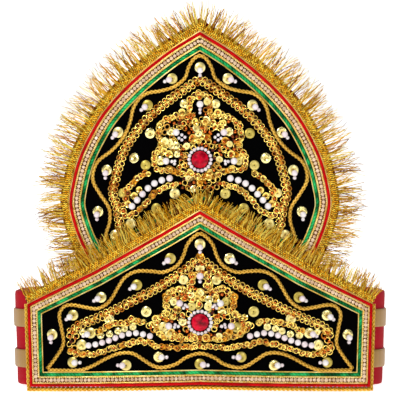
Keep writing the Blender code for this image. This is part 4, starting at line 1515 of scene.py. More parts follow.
@dataclass
class Embroidery:
    """What is sewn on one panel.

    Args:
        prefix: front or back.
        face_w: the height of the panel's face.
        waves: half paths of the plaited cord, by the nodes they stand for.
        arch: half path of the double chain.
        chains: paths of the single chains, and the nodes they stand for.
        flower: half outline of the flower.
        pearls: path of the right pearl string.
        pearl_count: pearls on one string.
        links: half outline of the sequins that join the crescents below the flower.
        buttons: rows of u, v, degrees; the first is on the middle line, the others are mirrored.
        extra_buttons: further rows that stand for no node, mirrored unless they are on the middle line.
        ruby: the stone's place.
        loose: tables of u, v, radius by kind: discs, cups, rings, beads, pearls and seeds.
        seed: of the random draws.
        ring_pitch: from ring to ring of a single chain.
        arch_pitch: from ring to ring of the double chain.
        arch_aside: how far its rows lie from its middle line.
        fill_pitch: the grid of what fills the flower.
        pearl_radius: of the string pearls.
        pearl_lift: height of their middles over the face.
        button_radius: of the large sequins.
        button_pearl: radius of the pearl on one, how far off its middle it is, and its height.
        button_seed: the same of the seed pearl beyond it.
        ruby_radius: of the stone.
        ruby_seeds: how many seed pearls there are round the stone, and the radius of their ring.
        shapes: the small shapes by name.
    """
    prefix: str
    face_w: float
    waves: dict[str, Array]
    arch: Array
    chains: dict[str, tuple[Array, list[str]]]
    flower: Array
    pearls: Array
    pearl_count: int
    links: Array
    buttons: Array
    extra_buttons: Array
    ruby: tuple[float, float]
    loose: dict[str, Array]
    seed: int
    ring_pitch: float = 2.8
    arch_pitch: float = 2.75
    arch_aside: float = 1.3
    fill_pitch: float = 2.6
    pearl_radius: float = 1.6
    pearl_lift: float = 1.95
    button_radius: float = 2.8
    button_pearl: tuple[float, float, float] = (1.66, 1.55, 2.4)
    button_seed: tuple[float, float, float] = (1.0, 4.0, 1.2)
    ruby_radius: float = 4.45
    ruby_seeds: tuple[int, float] = (18, 5.7)
    shapes: dict[str, Shape] = field(default_factory=sewn_shapes)

    def __post_init__(self) -> None:
        """Start the random draws."""
        self.rng = np.random.default_rng(self.seed)

    def build(self, wardrobe: Wardrobe) -> None:
        """Make all of it."""
        self.cords(wardrobe)
        self.double_chain(wardrobe)
        for name, (path, nodes) in self.chains.items():
            self.single_chain(wardrobe, name, path, nodes, False)
        loop = whole_loop(self.flower)
        self.single_chain(wardrobe, "flower", loop, [f"{self.prefix}_flower"], True)
        self.pearl_strings(wardrobe)
        self.button_rows(wardrobe)
        self.ruby_setting(wardrobe)
        self.loose_sequins(wardrobe)
        self.filling(wardrobe, "filling", loop, 1.4)
        if len(self.links):
            self.filling(wardrobe, "links", whole_loop(self.links), 0.2)

    def _sewn(self, shape: Shape, flat: Array, lift: Union[float, Array], tip: float,
              size: Union[float, Array, tuple[float, float]]) -> Shape:
        """Copies of a small shape over the panel's face, spun and tipped at random.

        Args:
            shape: the small shape.
            flat: places (N, 2).
            lift: their height over the face.
            tip: how far they tip, in radians.
            size: one scale, one for each copy, or the least and the greatest of a random one.

        Returns:
            All the copies as one shape.
        """
        rng, count = self.rng, len(flat)
        poses = turns(rng.uniform(0.0, FULL_TURN, count), rng.normal(0.0, tip, count),
                      rng.uniform(0.0, FULL_TURN, count))
        sizes = rng.uniform(*size, count) if isinstance(size, tuple) else np.broadcast_to(size, count)
        return scatter(shape, on_face(flat, self.face_w + lift), poses, sizes, rng.random(count))

    def _amber(self, flat: Array, lift: Array, spin: Array, size: tuple[float, float, float]) -> Shape:
        """Long amber beads that lie flat, turned by spin from +u."""
        count = len(flat)
        poses = turns(spin, np.zeros(count), spin)
        return scatter(self.shapes["bead"], on_face(flat, self.face_w + lift), poses,
                       np.tile(size, (count, 1)), self.rng.random(count))

    def cords(self, wardrobe: Wardrobe) -> None:
        """The plaited gold cord, laid in waves that mirror at the middle line."""
        plait = Plait(1.06, 0.85, 2.1, groove=0.42)
        for node, half in self.waves.items():
            path = smooth(mirrored(half), 0.6)
            body = plait.along(path, self.face_w + 0.95, False, self.rng)
            wardrobe.piece(f"{node}_plait", body.bent(), Finish.CORD, "gold_cord", [node])

    def double_chain(self, wardrobe: Wardrobe) -> None:
        """Two staggered rows of rings that lean outwards, with amber beads in them and gold ones between."""
        rng = self.rng
        path = smooth(mirrored(self.arch), 0.8)
        rings, beads = [], []
        for aside, late in ((self.arch_aside, False), (-self.arch_aside, True)):
            flat, angle = places_beside(path, self.arch_pitch, aside, False, late)
            count = len(flat)
            lift = 0.75 + rng.uniform(0.0, 0.5, count)
            lean = 0.38 + rng.normal(0.0, 0.15, count)
            toward = angle + math.copysign(math.pi / 2.0, aside) + rng.normal(0.0, 0.3, count)
            poses = turns(rng.uniform(0.0, FULL_TURN, count), lean, toward)
            size = rng.uniform(1.3, 1.5, count)
            rings.append(scatter(self.shapes["ring"], on_face(flat, self.face_w + lift), poses, size,
                                 rng.random(count)))
            inner = flat - 0.25 * np.sign(aside) * stacked(-np.sin(angle), np.cos(angle))
            beads.append(self._amber(inner, lift + 0.3, angle, (0.8, 0.55, 0.55)))
        flat, _ = places_beside(path, 1.35, 0.0, False)
        flat = flat + rng.normal(0.0, 0.28, flat.shape)
        gold = self._sewn(self.shapes["bead"], flat, 1.35, 0.3, rng.uniform(0.6, 0.85, len(flat)))
        self._chain_pieces(wardrobe, "arch", (Shape.joined(rings), Shape.joined(beads), gold),
                           [f"{self.prefix}_arch_chain"])

    def single_chain(self, wardrobe: Wardrobe, name: str, points: Array, nodes: list[str],
                     closed: bool) -> None:
        """A row of rings side by side, each with an amber bead across it, and small gold cups between."""
        rng = self.rng
        if closed:
            path = resample(smooth(np.vstack([points, points[:1]]), 0.5)[:-1], 0.8, True)
        else:
            path = smooth(points, 0.8)
        flat, angle = places_beside(path, self.ring_pitch, 0.0, closed)
        count = len(flat)
        flat = flat + rng.normal(0.0, 0.3, flat.shape)
        lift = 0.55 + rng.uniform(0.0, 0.5, count)
        rings = self._sewn(self.shapes["ring"], flat, lift, 0.22, (1.65, 1.95))
        beads = self._amber(flat, lift + 0.45, angle + rng.normal(0.0, 0.5, count), (1.1, 0.66, 0.66))
        between, _ = places_beside(path, self.ring_pitch, 0.0, closed, late=True)
        between = between + rng.normal(0.0, 0.35, between.shape)
        cups = self._sewn(self.shapes["cup"], between, 1.2 + rng.uniform(0.0, 0.4, len(between)), 0.4,
                          (1.1, 1.5))
        self._chain_pieces(wardrobe, name, (rings, beads, cups), nodes)

    def _chain_pieces(self, wardrobe: Wardrobe, name: str, shapes: Sequence[Shape], nodes: list[str]) -> None:
        """Put a chain's rings, amber beads and gold beads into the scene; the rings stand for the nodes."""
        kinds = (("rings", Finish.RING, nodes), ("amber_beads", Finish.BEAD, ()),
                 ("gold_beads", Finish.CUP, ()))
        for shape, (kind, finish, stands_for) in zip(shapes, kinds):
            wardrobe.piece(f"{self.prefix}_{name}_{kind}", shape.bent(), finish, "gold_sequin", stands_for)

    def pearl_strings(self, wardrobe: Wardrobe) -> None:
        """Touching pearls along the path on both halves."""
        fine = smooth(self.pearls, 0.5)
        right = resample(fine, reach_along(fine, False)[-1] / (self.pearl_count - 1))
        for name, side in (("left", -1.0), ("right", 1.0)):
            body = self._sewn(self.shapes["pearl"], right * (side, 1.0), self.pearl_lift, 0.5,
                              self.pearl_radius)
            wardrobe.piece(f"{self.prefix}_pearls_{name}", body.bent(), Finish.PEARL, "pearl",
                           [f"{self.prefix}_pearl_string_{name}"])

    def button_rows(self, wardrobe: Wardrobe) -> None:
        """Large sequins, each with a pearl off its middle and a seed pearl beyond it."""
        pairs = np.stack([flipped(self.buttons[1:]), self.buttons[1:]], axis=1)
        rows = np.vstack([self.buttons[:1], pairs.reshape(-1, 3)])
        nodes = [f"{self.prefix}_button_{k + 1}" for k in range(len(rows))]
        extra = self.extra_buttons
        rows = np.vstack([rows, extra, flipped(extra[extra[:, 0] > 0.0])])
        flat, way = rows[:, :2], spokes(np.radians(rows[:, 2]))
        discs = self._sewn(self.shapes["disc"], flat, 0.35, 0.09, self.button_radius)
        wardrobe.piece(f"{self.prefix}_button_sequins", discs.bent(), Finish.DISC, "gold_sequin", nodes)
        pearls = [self._sewn(shape, flat + way * reach, lift, 0.5, radius)
                  for shape, (radius, reach, lift) in ((self.shapes["pearl"], self.button_pearl),
                                                       (self.shapes["seed"], self.button_seed))]
        wardrobe.piece(f"{self.prefix}_button_pearls", Shape.joined(pearls).bent(), Finish.PEARL, "pearl")

    def ruby_setting(self, wardrobe: Wardrobe) -> None:
        """The cut red stone in its ring of seed pearls."""
        stone = cut_ruby(self.ruby_radius, 12)
        stone.places = stone.places + (*self.ruby, self.face_w + 0.3)
        # A random tone at each corner makes the facets lighter or darker: painted reflections.
        stone.tone = self.rng.random(len(stone.places))
        wardrobe.piece(f"{self.prefix}_ruby_stone", stone.bent(), Finish.RUBY, "ruby",
                       [f"{self.prefix}_ruby"], smooth_faces=False)
        count, radius = self.ruby_seeds
        flat = table([self.ruby]) + radius * spokes(round_steps(count))
        ring = self._sewn(self.shapes["seed"], flat, 1.35, 0.5, (0.93, 1.05))
        wardrobe.piece(f"{self.prefix}_ruby_ring", ring.bent(), Finish.PEARL, "pearl",
                       [f"{self.prefix}_ruby_pearls"])

    def loose_sequins(self, wardrobe: Wardrobe) -> None:
        """Single sequins, rings, beads and pearls from the tables of u, v, radius."""
        kinds = {
            # shape, finish, slot, lift, tip
            "discs": (self.shapes["disc"], Finish.DISC, "gold_sequin", 0.55, 0.12),
            "cups": (self.shapes["cup"], Finish.CUP, "gold_sequin", 1.0, 0.3),
            "rings": (self.shapes["ring"], Finish.RING, "gold_sequin", 0.9, 0.3),
            "beads": (self.shapes["bead"], Finish.BEAD, "gold_sequin", 1.2, 0.3),
            "pearls": (self.shapes["pearl"], Finish.PEARL, "pearl", 2.6, 0.3),
            "seeds": (self.shapes["seed"], Finish.PEARL, "pearl", 1.3, 0.3),
        }
        for kind, rows in self.loose.items():
            shape, finish, slot, lift, tip = kinds[kind]
            lifts = lift + self.rng.uniform(0.0, 0.3, len(rows))
            body = self._sewn(shape, rows[:, :2], lifts, tip, rows[:, 2])
            wardrobe.piece(f"{self.prefix}_loose_{kind}", body.bent(), finish, slot)

    def filling(self, wardrobe: Wardrobe, name: str, loop: Array, margin: float) -> None:
        """Rings, hollow sequins, beads and flat sequins that fill an outline.

        They stand on a grid of triangles inside the outline, shifted at random, and keep clear of the ruby
        and of the pearls and flat sequins that have a place of their own.

        Args:
            wardrobe: where the pieces go.
            name: of what is filled.
            loop: its outline (N, 2).
            margin: how far inside the outline the outermost ones stay.
        """
        rng, pitch = self.rng, self.fill_pitch
        low, high = loop.min(axis=0), loop.max(axis=0)
        columns = int((high[0] - low[0]) / pitch) + 1
        rows = int((high[1] - low[1]) / (0.87 * pitch)) + 1
        row, column = np.divmod(np.arange(rows * columns), columns)
        flat = low + pitch * stacked(column + 0.5 * (row % 2), 0.87 * row)
        flat = flat + rng.normal(0.0, 0.16 * pitch, flat.shape)
        taken = np.vstack([self.loose["pearls"], self.loose["seeds"] + (0.0, 0.0, 0.6),
                           self.loose["discs"] * (1.0, 1.0, 0.6), [(*self.ruby, 6.5)]])
        away = np.linalg.norm(flat[:, None] - taken[None, :, :2], axis=-1)
        room = np.min(away - taken[None, :, 2], axis=1)
        kept = inside(flat, loop) & (distances(flat, loop, True) > margin) & (room > 0.9)
        flat, room = flat[kept], room[kept]
        kinds = rng.choice(4, len(flat), p=(0.40, 0.16, 0.30, 0.14))
        table_of_kinds = (
            # kind, shape, finish, lift, sizes, room beside pearls and stones
            ("rings", self.shapes["ring"], Finish.RING, 0.7, (1.35, 1.75), 0.9),
            ("cups", self.shapes["cup"], Finish.CUP, 1.1, (1.3, 1.8), 1.2),
            ("beads", self.shapes["bead"], Finish.BEAD, 1.1, (0.85, 1.15), 0.9),
            ("discs", self.shapes["disc"], Finish.DISC, 1.7, (1.7, 2.15), 1.6),
        )
        for number, (kind, shape, finish, lift, sizes, need) in enumerate(table_of_kinds):
            mine = flat[(kinds == number) & (room > need)]
            if not len(mine):
                continue
            body = self._sewn(shape, mine, lift + rng.uniform(0.0, 0.5, len(mine)), 0.4, sizes)
            wardrobe.piece(f"{self.prefix}_{name}_{kind}", body.bent(), finish, "gold_sequin")


def inside(points: Array, loop: Array) -> Array:
    """Which points lie in a loop: those whose ray to the right crosses an odd number of its edges."""
    a, b = loop[None], np.roll(loop, -1, axis=0)[None]
    x, y = points[:, :1], points[:, 1:]
    spans = (a[..., 1] > y) != (b[..., 1] > y)
    rise = b[..., 1] - a[..., 1]
    crossing = a[..., 0] + (y - a[..., 1]) * (b[..., 0] - a[..., 0]) / np.where(rise == 0.0, 1.0, rise)
    return np.sum(spans & (x < crossing), axis=1) % 2 == 1


def both_sides(loose: dict[str, Sequence[Sequence[float]]]) -> dict[str, Array]:
    """Tables of u, v, radius with each row mirrored, except those on the middle line."""
    tables = {kind: table(rows) for kind, rows in loose.items()}
    return {kind: np.vstack([rows, rows[rows[:, 0] > 0.01] * (-1.0, 1.0, 1.0)])
            for kind, rows in tables.items()}


@dataclass
class HeadBand:
    """The red cloth ring with its two satin ribbons.

    Args:
        height: of the band.
        thickness: of the cloth and its stiffener.
        flare: how far the top stands out at the back.
        brow_lift: the y ahead of which the band rises to the brow, and by what share of the distance.
        ribbon_feet: heights of the ribbons' lower edges.
        ribbon_width: of a ribbon.
        ribbon_start: the turn where the ribbons begin behind the front panel.
        ribbon_gap: from the cloth to a ribbon.
        half_ribbon: half a ribbon's thickness.
        brow_gap: from the front panel's face to the band.
        corner: radius of the corner between brow and side.
        half_width: of the plan; its round back has the same radius.
        nape_y: where the plan ends behind.
        step: steps along the plan.
        rows: heights of the cloth's grid on each face.
        hem: where a seam lies in from the edge, its width and its depth.
        seed: of the random draws.
    """
    height: float = 49.0
    thickness: float = 2.3
    flare: float = 1.5
    brow_lift: tuple[float, float] = (30.0, 0.03)
    ribbon_feet: tuple[tuple[str, float], ...] = (("band_ribbon_lower", 9.2), ("band_ribbon_upper", 30.3))
    ribbon_width: float = 9.3
    ribbon_start: float = math.radians(38.0)
    ribbon_gap: float = 0.3
    half_ribbon: float = 0.4
    brow_gap: float = 2.8
    corner: float = 28.0
    half_width: float = 96.0
    nape_y: float = 85.4
    step: float = 2.0
    rows: int = 22
    hem: tuple[float, float, float] = (3.4, 0.5, 0.28)
    seed: int = 31

    def plan(self) -> tuple[Array, Array, float]:
        """The band's outer plan, from the brow's middle round by the right to the nape and back.

        The brow about its own centre, a tight corner, a straight side, and the round back.

        Returns:
            Places (N, 2) in the ground plane, their turns from -Y, and the corner's first turn.
        """
        brow, corner, half = BROW_RADIUS - self.brow_gap, self.corner, self.half_width
        brow_y, back_y = FACE_Y + BROW_RADIUS, self.nape_y - half
        first = math.asin((half - corner) / (brow - corner))
        corner_y = brow_y - (brow - corner) * math.cos(first)
        arcs = (
            # first turn, last turn, centre's x and y, radius
            (0.0, first, 0.0, brow_y, brow),
            (first, math.pi / 2.0, half - corner, corner_y, corner),
            (math.pi / 2.0, math.pi, 0.0, back_y, half),
        )
        places, turn = [], []
        for start, end, x, y, radius in arcs:
            count = max(4, int((end - start) * radius / self.step))
            a = np.linspace(start, end, count + 1)[int(start == first):]
            places.append(stacked(x + radius * np.sin(a), y - radius * np.cos(a)))
            turn.append(a)
        side_y = np.linspace(corner_y, back_y, int((back_y - corner_y) / self.step) + 2)[1:-1]
        places.insert(2, stacked(np.full(len(side_y), half), side_y))
        turn.insert(2, np.full(len(side_y), math.pi / 2.0))
        right, angles = np.concatenate(places), np.concatenate(turn)
        left, left_angles = right[-2:0:-1] * (-1.0, 1.0), -angles[-2:0:-1]
        return np.vstack([right, left]), np.concatenate([angles, left_angles]), first

    def places(self, plan: Array, turn: Array, first: float, heights: Array, out: Array) -> Array:
        """Places on the band in metres.

        place = plan + (out + flare h / H) radial, z = lift + h, with the lift that brow_lift gives.

        Args:
            plan: outer plan (N, 2).
            turn: turns (N,).
            first: the corner's first turn.
            heights: over the lower edge, (K,).
            out: standing out of the plan, (K,) or (N, K).

        Returns:
            Places (N, K, 3).
        """
        share = np.clip((np.abs(turn) - first) / (math.pi / 2.0 - first), 0.0, 1.0)[:, None]
        reach = out + self.flare * share * heights[None] / self.height
        start, share_up = self.brow_lift
        lift = np.maximum(0.0, start - plan[:, 1:]) * share_up
        x = plan[:, :1] + reach * np.sin(turn)[:, None]
        y = plan[:, 1:] - reach * np.cos(turn)[:, None]
        return stacked(x, y, lift + heights[None]) * MM

    def build(self, wardrobe: Wardrobe) -> None:
        """Make the cloth ring with its hems, and the two ribbons."""
        rng = np.random.default_rng(self.seed)
        self.cloth(wardrobe)
        for name, foot in self.ribbon_feet:
            self.ribbon(wardrobe, name, foot, rng)

    def cloth(self, wardrobe: Wardrobe) -> None:
        """The cloth: up its outside, over the rounded rim, down its inside and under the rounded foot."""
        plan, turn, first = self.plan()
        run = reach_along(plan, True)
        up = np.linspace(0.0, self.height, self.rows)[1:-1]
        edge = 0.5 * self.thickness
        cap = np.linspace(0.0, math.pi, 6)[1:-1]
        heights = np.clip(np.concatenate([
            up, self.height - edge + edge * np.sin(cap), up[::-1], edge - edge * np.sin(cap),
        ]), 0.0, self.height)
        out = np.concatenate([
            np.zeros(len(up)), edge * np.cos(cap) - edge, np.full(len(up), -2.0 * edge),
            -edge - edge * np.cos(cap),
        ])
        wave = 0.16 * np.sin(run[:-1, None] / 9.0 + 0.1 * heights) * np.sin(math.pi * heights / self.height)
        inset, width, depth = self.hem
        seams = [np.exp(-((heights - seam) / width) ** 2) for seam in (inset, self.height - inset)]
        seams_in = -depth * (seams[0] + seams[1]) * np.sign(out + edge + 0.01)
        grid = self.places(plan, turn, first, heights, out + wave + seams_in)
        self._woven(wardrobe, "head_band_cloth", grid, (run, heights), True,
                    (Finish.RED_CLOTH, "red_cloth", "head_band"))

    def ribbon(self, wardrobe: Wardrobe, name: str, foot: float, rng: np.random.Generator) -> None:
        """One satin ribbon round the sides and back, with rounded edges and a slight ripple."""
        plan, turn, first = self.plan()
        order = np.argsort(np.where(turn < 0.0, turn + FULL_TURN, turn), kind="stable")
        order = order[np.abs(turn[order]) > self.ribbon_start]
        plan, turn = plan[order], turn[order]
        run = reach_along(plan, False)
        a = round_steps(16, 0.5)
        across, up = squared_off(a, 0.5).T
        half = 0.5 * self.ribbon_width
        heights = foot + half + half * up
        out = self.ribbon_gap + self.half_ribbon + self.half_ribbon * across
        ripple = 0.1 * np.sin(run[:, None] / 5.0 + rng.uniform(0.0, 6.0)) * np.cos(a)
        grid = self.places(plan, turn, first, heights, out + ripple)
        self._woven(wardrobe, f"{name}_satin", grid, (run, heights), False, (Finish.SATIN, "tan_satin", name))

    def _woven(self, wardrobe: Wardrobe, piece: str, grid: Array, cloth_map: tuple[Array, Array],
               closed: bool, dress: tuple[Finish, str, str]) -> None:
        """Put a band into the scene with its cloth map.

        Args:
            wardrobe: where the piece goes.
            piece: its name.
            grid: places (rows, columns, 3) in metres, the columns going round the section.
            cloth_map: how far along each row lies, and the height of each column.
            closed: whether the rows go all the way round. An open band gets flat ends.
            dress: its finish, its slot and the node that it stands for.
        """
        finish, slot, node = dress
        rows, columns = grid.shape[:2]
        faces = [grid_quads(rows, columns, closed, True)[:, ::-1]]
        corner_map = cloth_corners(*cloth_map, rows if closed else rows - 1)
        if not closed:
            ring = np.arange(columns)
            faces.append(np.stack([ring, ((rows - 1) * columns + ring)[::-1]]))
            corner_map = np.concatenate([corner_map, np.zeros((2 * columns, 2))])
        marks = np.full(rows * columns, 0.5)
        wardrobe.piece(piece, Shape(grid.reshape(-1, 3), faces, marks, marks), finish, slot, [node],
                       corner_map=corner_map)


@dataclass
class EdgeRope:
    """The gold rope round the front panel's sides and foot.

    Args:
        radius: half its width; it touches the board's edge.
        pitch: from stitch to stitch of its plait.
        groove: depth of the stitches as a share of the radius.
        sides: steps round it.
        seed: of the random draws.
    """
    radius: float = 1.28
    pitch: float = 2.3
    groove: float = 0.5
    sides: int = 16
    seed: int = 5

    def build(self, wardrobe: Wardrobe) -> None:
        """Carry a plaited rope from the left shoulder round the foot to the right one."""
        side = table(FRONT_SIDE)[:2]
        left = side[::-1] * (-1.0, 1.0)
        path = offset(np.vstack([left, table([FRONT_FOOT_MIDDLE]), side]), -self.radius)
        rope = Plait(self.radius, self.radius, self.pitch, groove=self.groove, sides=self.sides)
        body = rope.along(path, -self.radius, False, np.random.default_rng(self.seed))
        wardrobe.piece("front_rope_plait", body.bent(), Finish.ROPE, "gold_zari", ["front_edge_rope"])


@dataclass
class Studio:
    """A pale sweep, soft lights and the camera.

    Args:
        target: what the camera looks at, in metres.
        distance: from the target to the camera.
        elevation: of the camera, in degrees.
        view_height: what the picture spans at the target.
    """
    target: tuple[float, float, float] = (0.0, -0.084, 0.0973)
    distance: float = 1.3
    elevation: float = 1.5
    view_height: float = 0.2086

    def build(self) -> None:
        """Make the sweep, the lights, the world and the camera."""
        self.sweep()
        self.lights()
        self.camera()

    def sweep(self) -> None:
        """A floor that curves up behind: height 0 to the bend, then a quarter circle, then upright."""
        bend_at, bend_radius, half = 2.0, 0.5, 3.0
        a = np.linspace(0.0, math.pi / 2.0, 13)
        y = np.concatenate([[-4.0, 0.0], bend_at + bend_radius * np.sin(a), [bend_at + bend_radius]])
        z = np.concatenate([[0.0, 0.0], bend_radius * (1.0 - np.cos(a)), [3.0]])
        x = np.array([-half, half])
        places = np.stack(np.broadcast_arrays(x[None, :], y[:, None], z[:, None]), axis=-1).reshape(-1, 3)
        mesh = bpy.data.meshes.new("studio_sweep")
        mesh.from_pydata(places.tolist(), [], grid_quads(len(y), 2, False, False).tolist())
        mesh.polygons.foreach_set("use_smooth", np.full(len(mesh.polygons), True))
        recipe = Recipe("studio_paper")
        grain = recipe.noise(30.0)
        recipe.dress(Base_Color=recipe.mix(grain, (0.93, 0.93, 0.93), (0.95, 0.95, 0.95)), Roughness=0.9,
                     Specular_IOR_Level=0.1, Emission_Color=(1.0, 1.0, 1.0), Emission_Strength=0.8)
        mesh.materials.append(recipe.material)
        placed("studio_sweep", mesh)

    def lights(self) -> None:
        """A small key from the upper left, a fill from the right, one above, one behind, and warm air."""
        rows = (
            # name, x, y, z, width, height, watts
            ("key", -0.45, -1.0, 0.7, 0.14, 0.14, 6.5),
            ("fill", 0.6, -1.0, 0.3, 0.2, 0.3, 1.6),
            ("top", 0.0, -0.35, 0.95, 0.7, 0.2, 2.2),
            ("back", 0.0, 0.9, 0.8, 1.2, 0.5, 2.0),
        )
        for name, x, y, z, width, height, watts in rows:
            light = bpy.data.lights.new(f"{name}_softbox", "AREA")
            light.shape = "RECTANGLE"
            light.size, light.size_y = width, height
            light.energy = watts
            made = placed(f"{name}_softbox", light)
            made.location = (x, y, z)
            way = Vector(self.target) - made.location
            made.rotation_euler = way.to_track_quat("-Z", "Y").to_euler()
        world = bpy.data.worlds.new("studio_air")
        world.use_nodes = True
        air = world.node_tree.nodes["Background"].inputs
        air["Color"].default_value = (1.0, 0.96, 0.9, 1.0)
        air["Strength"].default_value = 0.08
        bpy.context.scene.world = world
        bpy.context.scene.view_settings.view_transform = "Standard"

    def camera(self) -> None:
        """A long lens from the front, nearly level with the crown."""
        elevation = math.radians(self.elevation)
        target = Vector(self.target)
        back = Vector((0.0, -math.cos(elevation), math.sin(elevation)))
        data = bpy.data.cameras.new("photo_camera")
        data.sensor_width = 36.0
        data.lens = 36.0 * self.distance / self.view_height
        made = placed("photo_camera", data)
        made.location = target + back * self.distance
        made.rotation_euler = (-back).to_track_quat("-Z", "Y").to_euler()
        bpy.context.scene.camera = made


# Single sequins, beads and pearls by kind: rows of u, v, radius on the right side and the middle line.
FRONT_LOOSE = {
    "discs": (
        (27.4, 42.5, 2.75), (46.6, 38.6, 2.7), (8.4, 58.8, 2.5), (61.1, 25.0, 2.8),
        (0.0, 64.9, 2.4), (13.2, 47.8, 2.3), (18.5, 34.6, 2.7), (4.3, 45.2, 2.3),
        (51.1, 30.1, 1.9), (46.4, 30.8, 1.9), (42.0, 32.4, 1.9), (38.6, 33.8, 1.9), (34.4, 34.6, 1.9),
        (60.5, 31.6, 1.9),
    ),
    "cups": (
        (3.9, 61.4, 2.0), (17.4, 50.1, 2.0), (11.2, 43.5, 2.2), (7.7, 49.3, 2.2), (0.0, 70.6, 2.0),
        (0.0, 52.6, 2.0), (1.4, 49.5, 1.6), (0.0, 46.4, 2.0), (17.6, 41.6, 1.9), (22.6, 39.2, 1.9),
        (14.9, 32.2, 2.0), (3.0, 29.7, 2.0), (24.5, 36.0, 1.7), (20.4, 31.6, 1.7), (9.6, 30.2, 1.7),
    ),
    "rings": (
        (13.8, 53.4, 1.95), (9.7, 54.1, 1.8), (5.7, 53.4, 1.7), (17.0, 45.8, 1.9), (15.1, 43.0, 1.6),
        (65.7, 32.2, 1.8), (65.7, 27.4, 1.8), (64.9, 23.4, 1.8), (5.7, 41.4, 1.8), (5.4, 56.4, 1.6),
        (10.2, 39.1, 1.7), (7.4, 37.2, 1.6), (7.2, 33.8, 1.7), (67.6, 29.8, 1.7), (64.0, 29.6, 1.8),
        (67.4, 25.2, 1.7), (67.0, 21.4, 1.8), (63.9, 20.2, 1.8), (26.0, 35.4, 1.8), (23.6, 33.4, 1.8),
        (3.8, 31.0, 1.5), (0.0, 30.6, 1.4), (12.4, 30.0, 1.6), (22.0, 33.2, 1.8), (14.0, 39.9, 1.6),
    ),
    "beads": (
        (4.6, 62.8, 0.9), (4.8, 60.2, 0.9), (4.6, 57.8, 0.9), (3.6, 55.4, 0.9), (5.2, 51.2, 1.0),
        (3.6, 48.9, 1.0), (2.2, 54.2, 0.9), (6.6, 44.0, 0.9), (9.4, 41.2, 0.9), (12.2, 41.0, 1.0),
        (8.6, 35.4, 0.9), (8.2, 39.8, 0.9), (16.2, 38.2, 0.9), (10.4, 32.6, 0.9), (5.6, 30.8, 0.9),
        (1.6, 30.0, 0.9), (18.6, 38.8, 0.9), (21.4, 37.0, 0.8), (1.0, 66.9, 1.0), (9.2, 51.6, 1.0),
        (13.4, 51.2, 0.8), (16.8, 48.2, 0.8), (65.8, 31.2, 1.0), (64.4, 28.4, 1.0), (66.6, 26.6, 1.0),
        (66.0, 22.6, 1.0), (64.2, 21.4, 1.0), (25.0, 34.4, 1.0), (67.4, 29.2, 0.9),
    ),
    "pearls": ((0.0, 60.8, 1.85), (10.3, 46.9, 1.8), (15.8, 35.3, 1.8)),
    "seeds": (
        (0.0, 58.0, 1.0), (7.5, 46.0, 0.9), (8.4, 44.5, 0.9), (6.5, 45.1, 0.9), (13.0, 34.6, 0.85),
        (12.6, 36.0, 0.85), (11.0, 35.1, 0.95),
    ),
}
BACK_LOOSE = {
    "discs": (
        (25.9, 133.6, 2.7), (34.3, 120.9, 2.7), (28.3, 117.3, 2.6), (13.1, 102.8, 2.7), (22.7, 95.2, 2.7),
        (36.1, 87.4, 2.7), (44.5, 81.6, 2.6), (8.2, 148.6, 2.3), (15.0, 134.4, 2.4), (20.4, 119.6, 2.4),
        (40.6, 103.0, 2.3),
    ),
    "cups": (
        (9.2, 144.2, 2.0), (0.0, 152.4, 2.0), (10.4, 136.7, 2.0), (13.0, 129.8, 2.0), (16.1, 123.0, 2.0),
        (16.1, 115.1, 2.0), (3.6, 131.1, 2.0), (0.0, 130.2, 1.8), (5.0, 113.2, 2.0), (31.2, 104.6, 1.9),
        (34.2, 101.5, 1.9), (37.4, 97.4, 1.9), (2.6, 139.6, 1.8), (0.0, 134.4, 1.7), (20.6, 127.6, 1.7),
    ),
    "rings": (
        (37.6, 103.0, 1.8), (38.6, 100.1, 1.8), (39.8, 97.0, 1.8), (39.8, 93.8, 1.8), (4.2, 137.7, 1.8),
        (4.6, 142.4, 1.7), (5.4, 105.0, 1.8), (0.0, 108.8, 1.8), (7.4, 126.6, 1.7),
        (8.6, 122.4, 1.7), (8.2, 117.4, 1.7), (3.4, 126.2, 1.6), (12.2, 125.8, 1.7), (12.6, 113.8, 1.6),
    ),
    "beads": (
        (37.6, 103.0, 1.0), (38.6, 100.1, 1.0), (39.8, 97.0, 1.0), (39.8, 93.8, 1.0), (4.2, 150.6, 0.9),
        (4.4, 146.8, 0.9), (3.0, 143.0, 0.9), (6.2, 139.6, 0.9), (7.2, 136.2, 0.9),
        (9.0, 138.6, 0.9), (7.6, 129.0, 0.9), (10.2, 127.2, 0.9), (10.0, 120.2, 0.9), (10.6, 116.2, 0.9),
        (7.2, 114.6, 0.9), (2.6, 112.8, 0.9), (2.4, 105.8, 0.9), (1.4, 136.2, 0.9), (5.6, 133.4, 0.9),
        (14.4, 126.0, 0.8), (17.2, 130.2, 0.8),
    ),
    "pearls": ((0.0, 148.4, 1.8), (12.3, 134.1, 1.8), (17.5, 119.4, 1.8)),
    "seeds": (
        (0.0, 145.8, 0.95), (0.0, 144.1, 0.85), (9.4, 132.8, 0.9), (10.9, 131.1, 0.85), (9.4, 130.2, 0.85),
        (7.8, 131.6, 0.85), (14.6, 119.2, 0.9), (13.0, 119.4, 0.85), (13.2, 118.0, 0.85),
    ),
}


def halves(half: Sequence[Sequence[float]], prefix: str, stem: str) -> dict[str, tuple[Array, list[str]]]:
    """A crescent on each side: its path and node by its name."""
    right = table(half)
    return {f"{stem}_{name}": (right * (side, 1.0), [f"{prefix}_{stem}_{name}"])
            for name, side in (("right", 1.0), ("left", -1.0))}


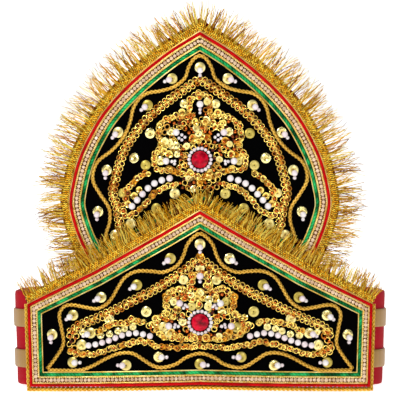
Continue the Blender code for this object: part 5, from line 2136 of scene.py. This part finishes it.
def assemblies() -> list[Any]:
    """All the parts of the crown in the order they are made."""
    front_side = resample(table(FRONT_SIDE), 3.0, keep_corners=True)
    front_backing = resample(table(FRONT_BACKING), 3.0, keep_corners=True)
    back_board = back_side(BACK_BOARD_FOOT, 1.5)
    back_backing = offset(back_board, -BACKING_SPREAD)
    back_backing[-1] = (0.0, back_board[-1, 1] + BACKING_APEX)
    gable = mirrored(resample(table(FRONT_SIDE)[1:], 2.0))
    arch = mirrored(back_side(BACK_TRIM_FOOT, 1.5))
    back_trim = Trim(stones=3.8, green=(7.15, 0.95), lines=(1.85, 5.75, 8.3), stitch_rows=(-1.5, 1.5))
    front = Embroidery(
        prefix="front", face_w=FRONT_W,
        waves={"front_wave_cord_upper": table(FRONT_WAVE_UPPER),
               "front_wave_cord_lower": table(FRONT_WAVE_LOWER)},
        arch=table(FRONT_ARCH),
        chains={"lower_chain": (mirrored(table(FRONT_LOWER_CHAIN)), ["front_lower_chain"]),
                **halves(FRONT_CRESCENT, "front", "crescent")},
        flower=table(FRONT_FLOWER), pearls=table(FRONT_PEARL_PATH), pearl_count=10,
        links=np.zeros((0, 2)), buttons=table(FRONT_BUTTONS), extra_buttons=table(FRONT_FOOT_BUTTONS),
        ruby=FRONT_RUBY, loose=both_sides(FRONT_LOOSE), seed=11,
    )
    back = Embroidery(
        prefix="back", face_w=BACK_W, waves={"back_wave_cord": table(BACK_WAVE)}, arch=table(BACK_ARCH),
        chains={**halves(BACK_UPPER_CRESCENT, "back", "upper_crescent"),
                **halves(BACK_LOWER_CRESCENT, "back", "lower_crescent")},
        flower=table(BACK_FLOWER), pearls=table(BACK_PEARL_PATH), pearl_count=7, links=table(BACK_LINKS),
        buttons=table(BACK_BUTTONS), extra_buttons=np.zeros((0, 3)), ruby=BACK_RUBY,
        loose=both_sides(BACK_LOOSE), seed=12, pearl_radius=1.75,
    )
    return [
        HeadBand(),
        Panel("back", BACK_W, 2.2, back_outline(BACK_TRIM_FOOT, 1.5), back_board, (0.0, BACK_BOARD_FOOT),
              back_backing, back_trim),
        back,
        Fringe("back", arch, BACK_W, apex_length=12.2, side_length=15.4, density=5.6, clump=3.3, crinkle=0.3,
               seed=21),
        Panel("front", FRONT_W, 2.5, front_outline(), front_side, FRONT_FOOT_MIDDLE, front_backing),
        EdgeRope(),
        front,
        Fringe("front", gable, FRONT_W, apex_length=7.6, side_length=9.9, density=5.8, clump=2.9,
               crinkle=0.25, seed=22),
    ]


def main() -> None:
    """Load the frame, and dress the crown."""
    logging.basicConfig(level=logging.INFO, format="%(message)s")
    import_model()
    wardrobe = Wardrobe()
    for assembly in assemblies():
        assembly.build(wardrobe)
    Studio().build()
    LOG.info("%d triangles in all", wardrobe.triangles)


if __name__ == "__main__":
    main()
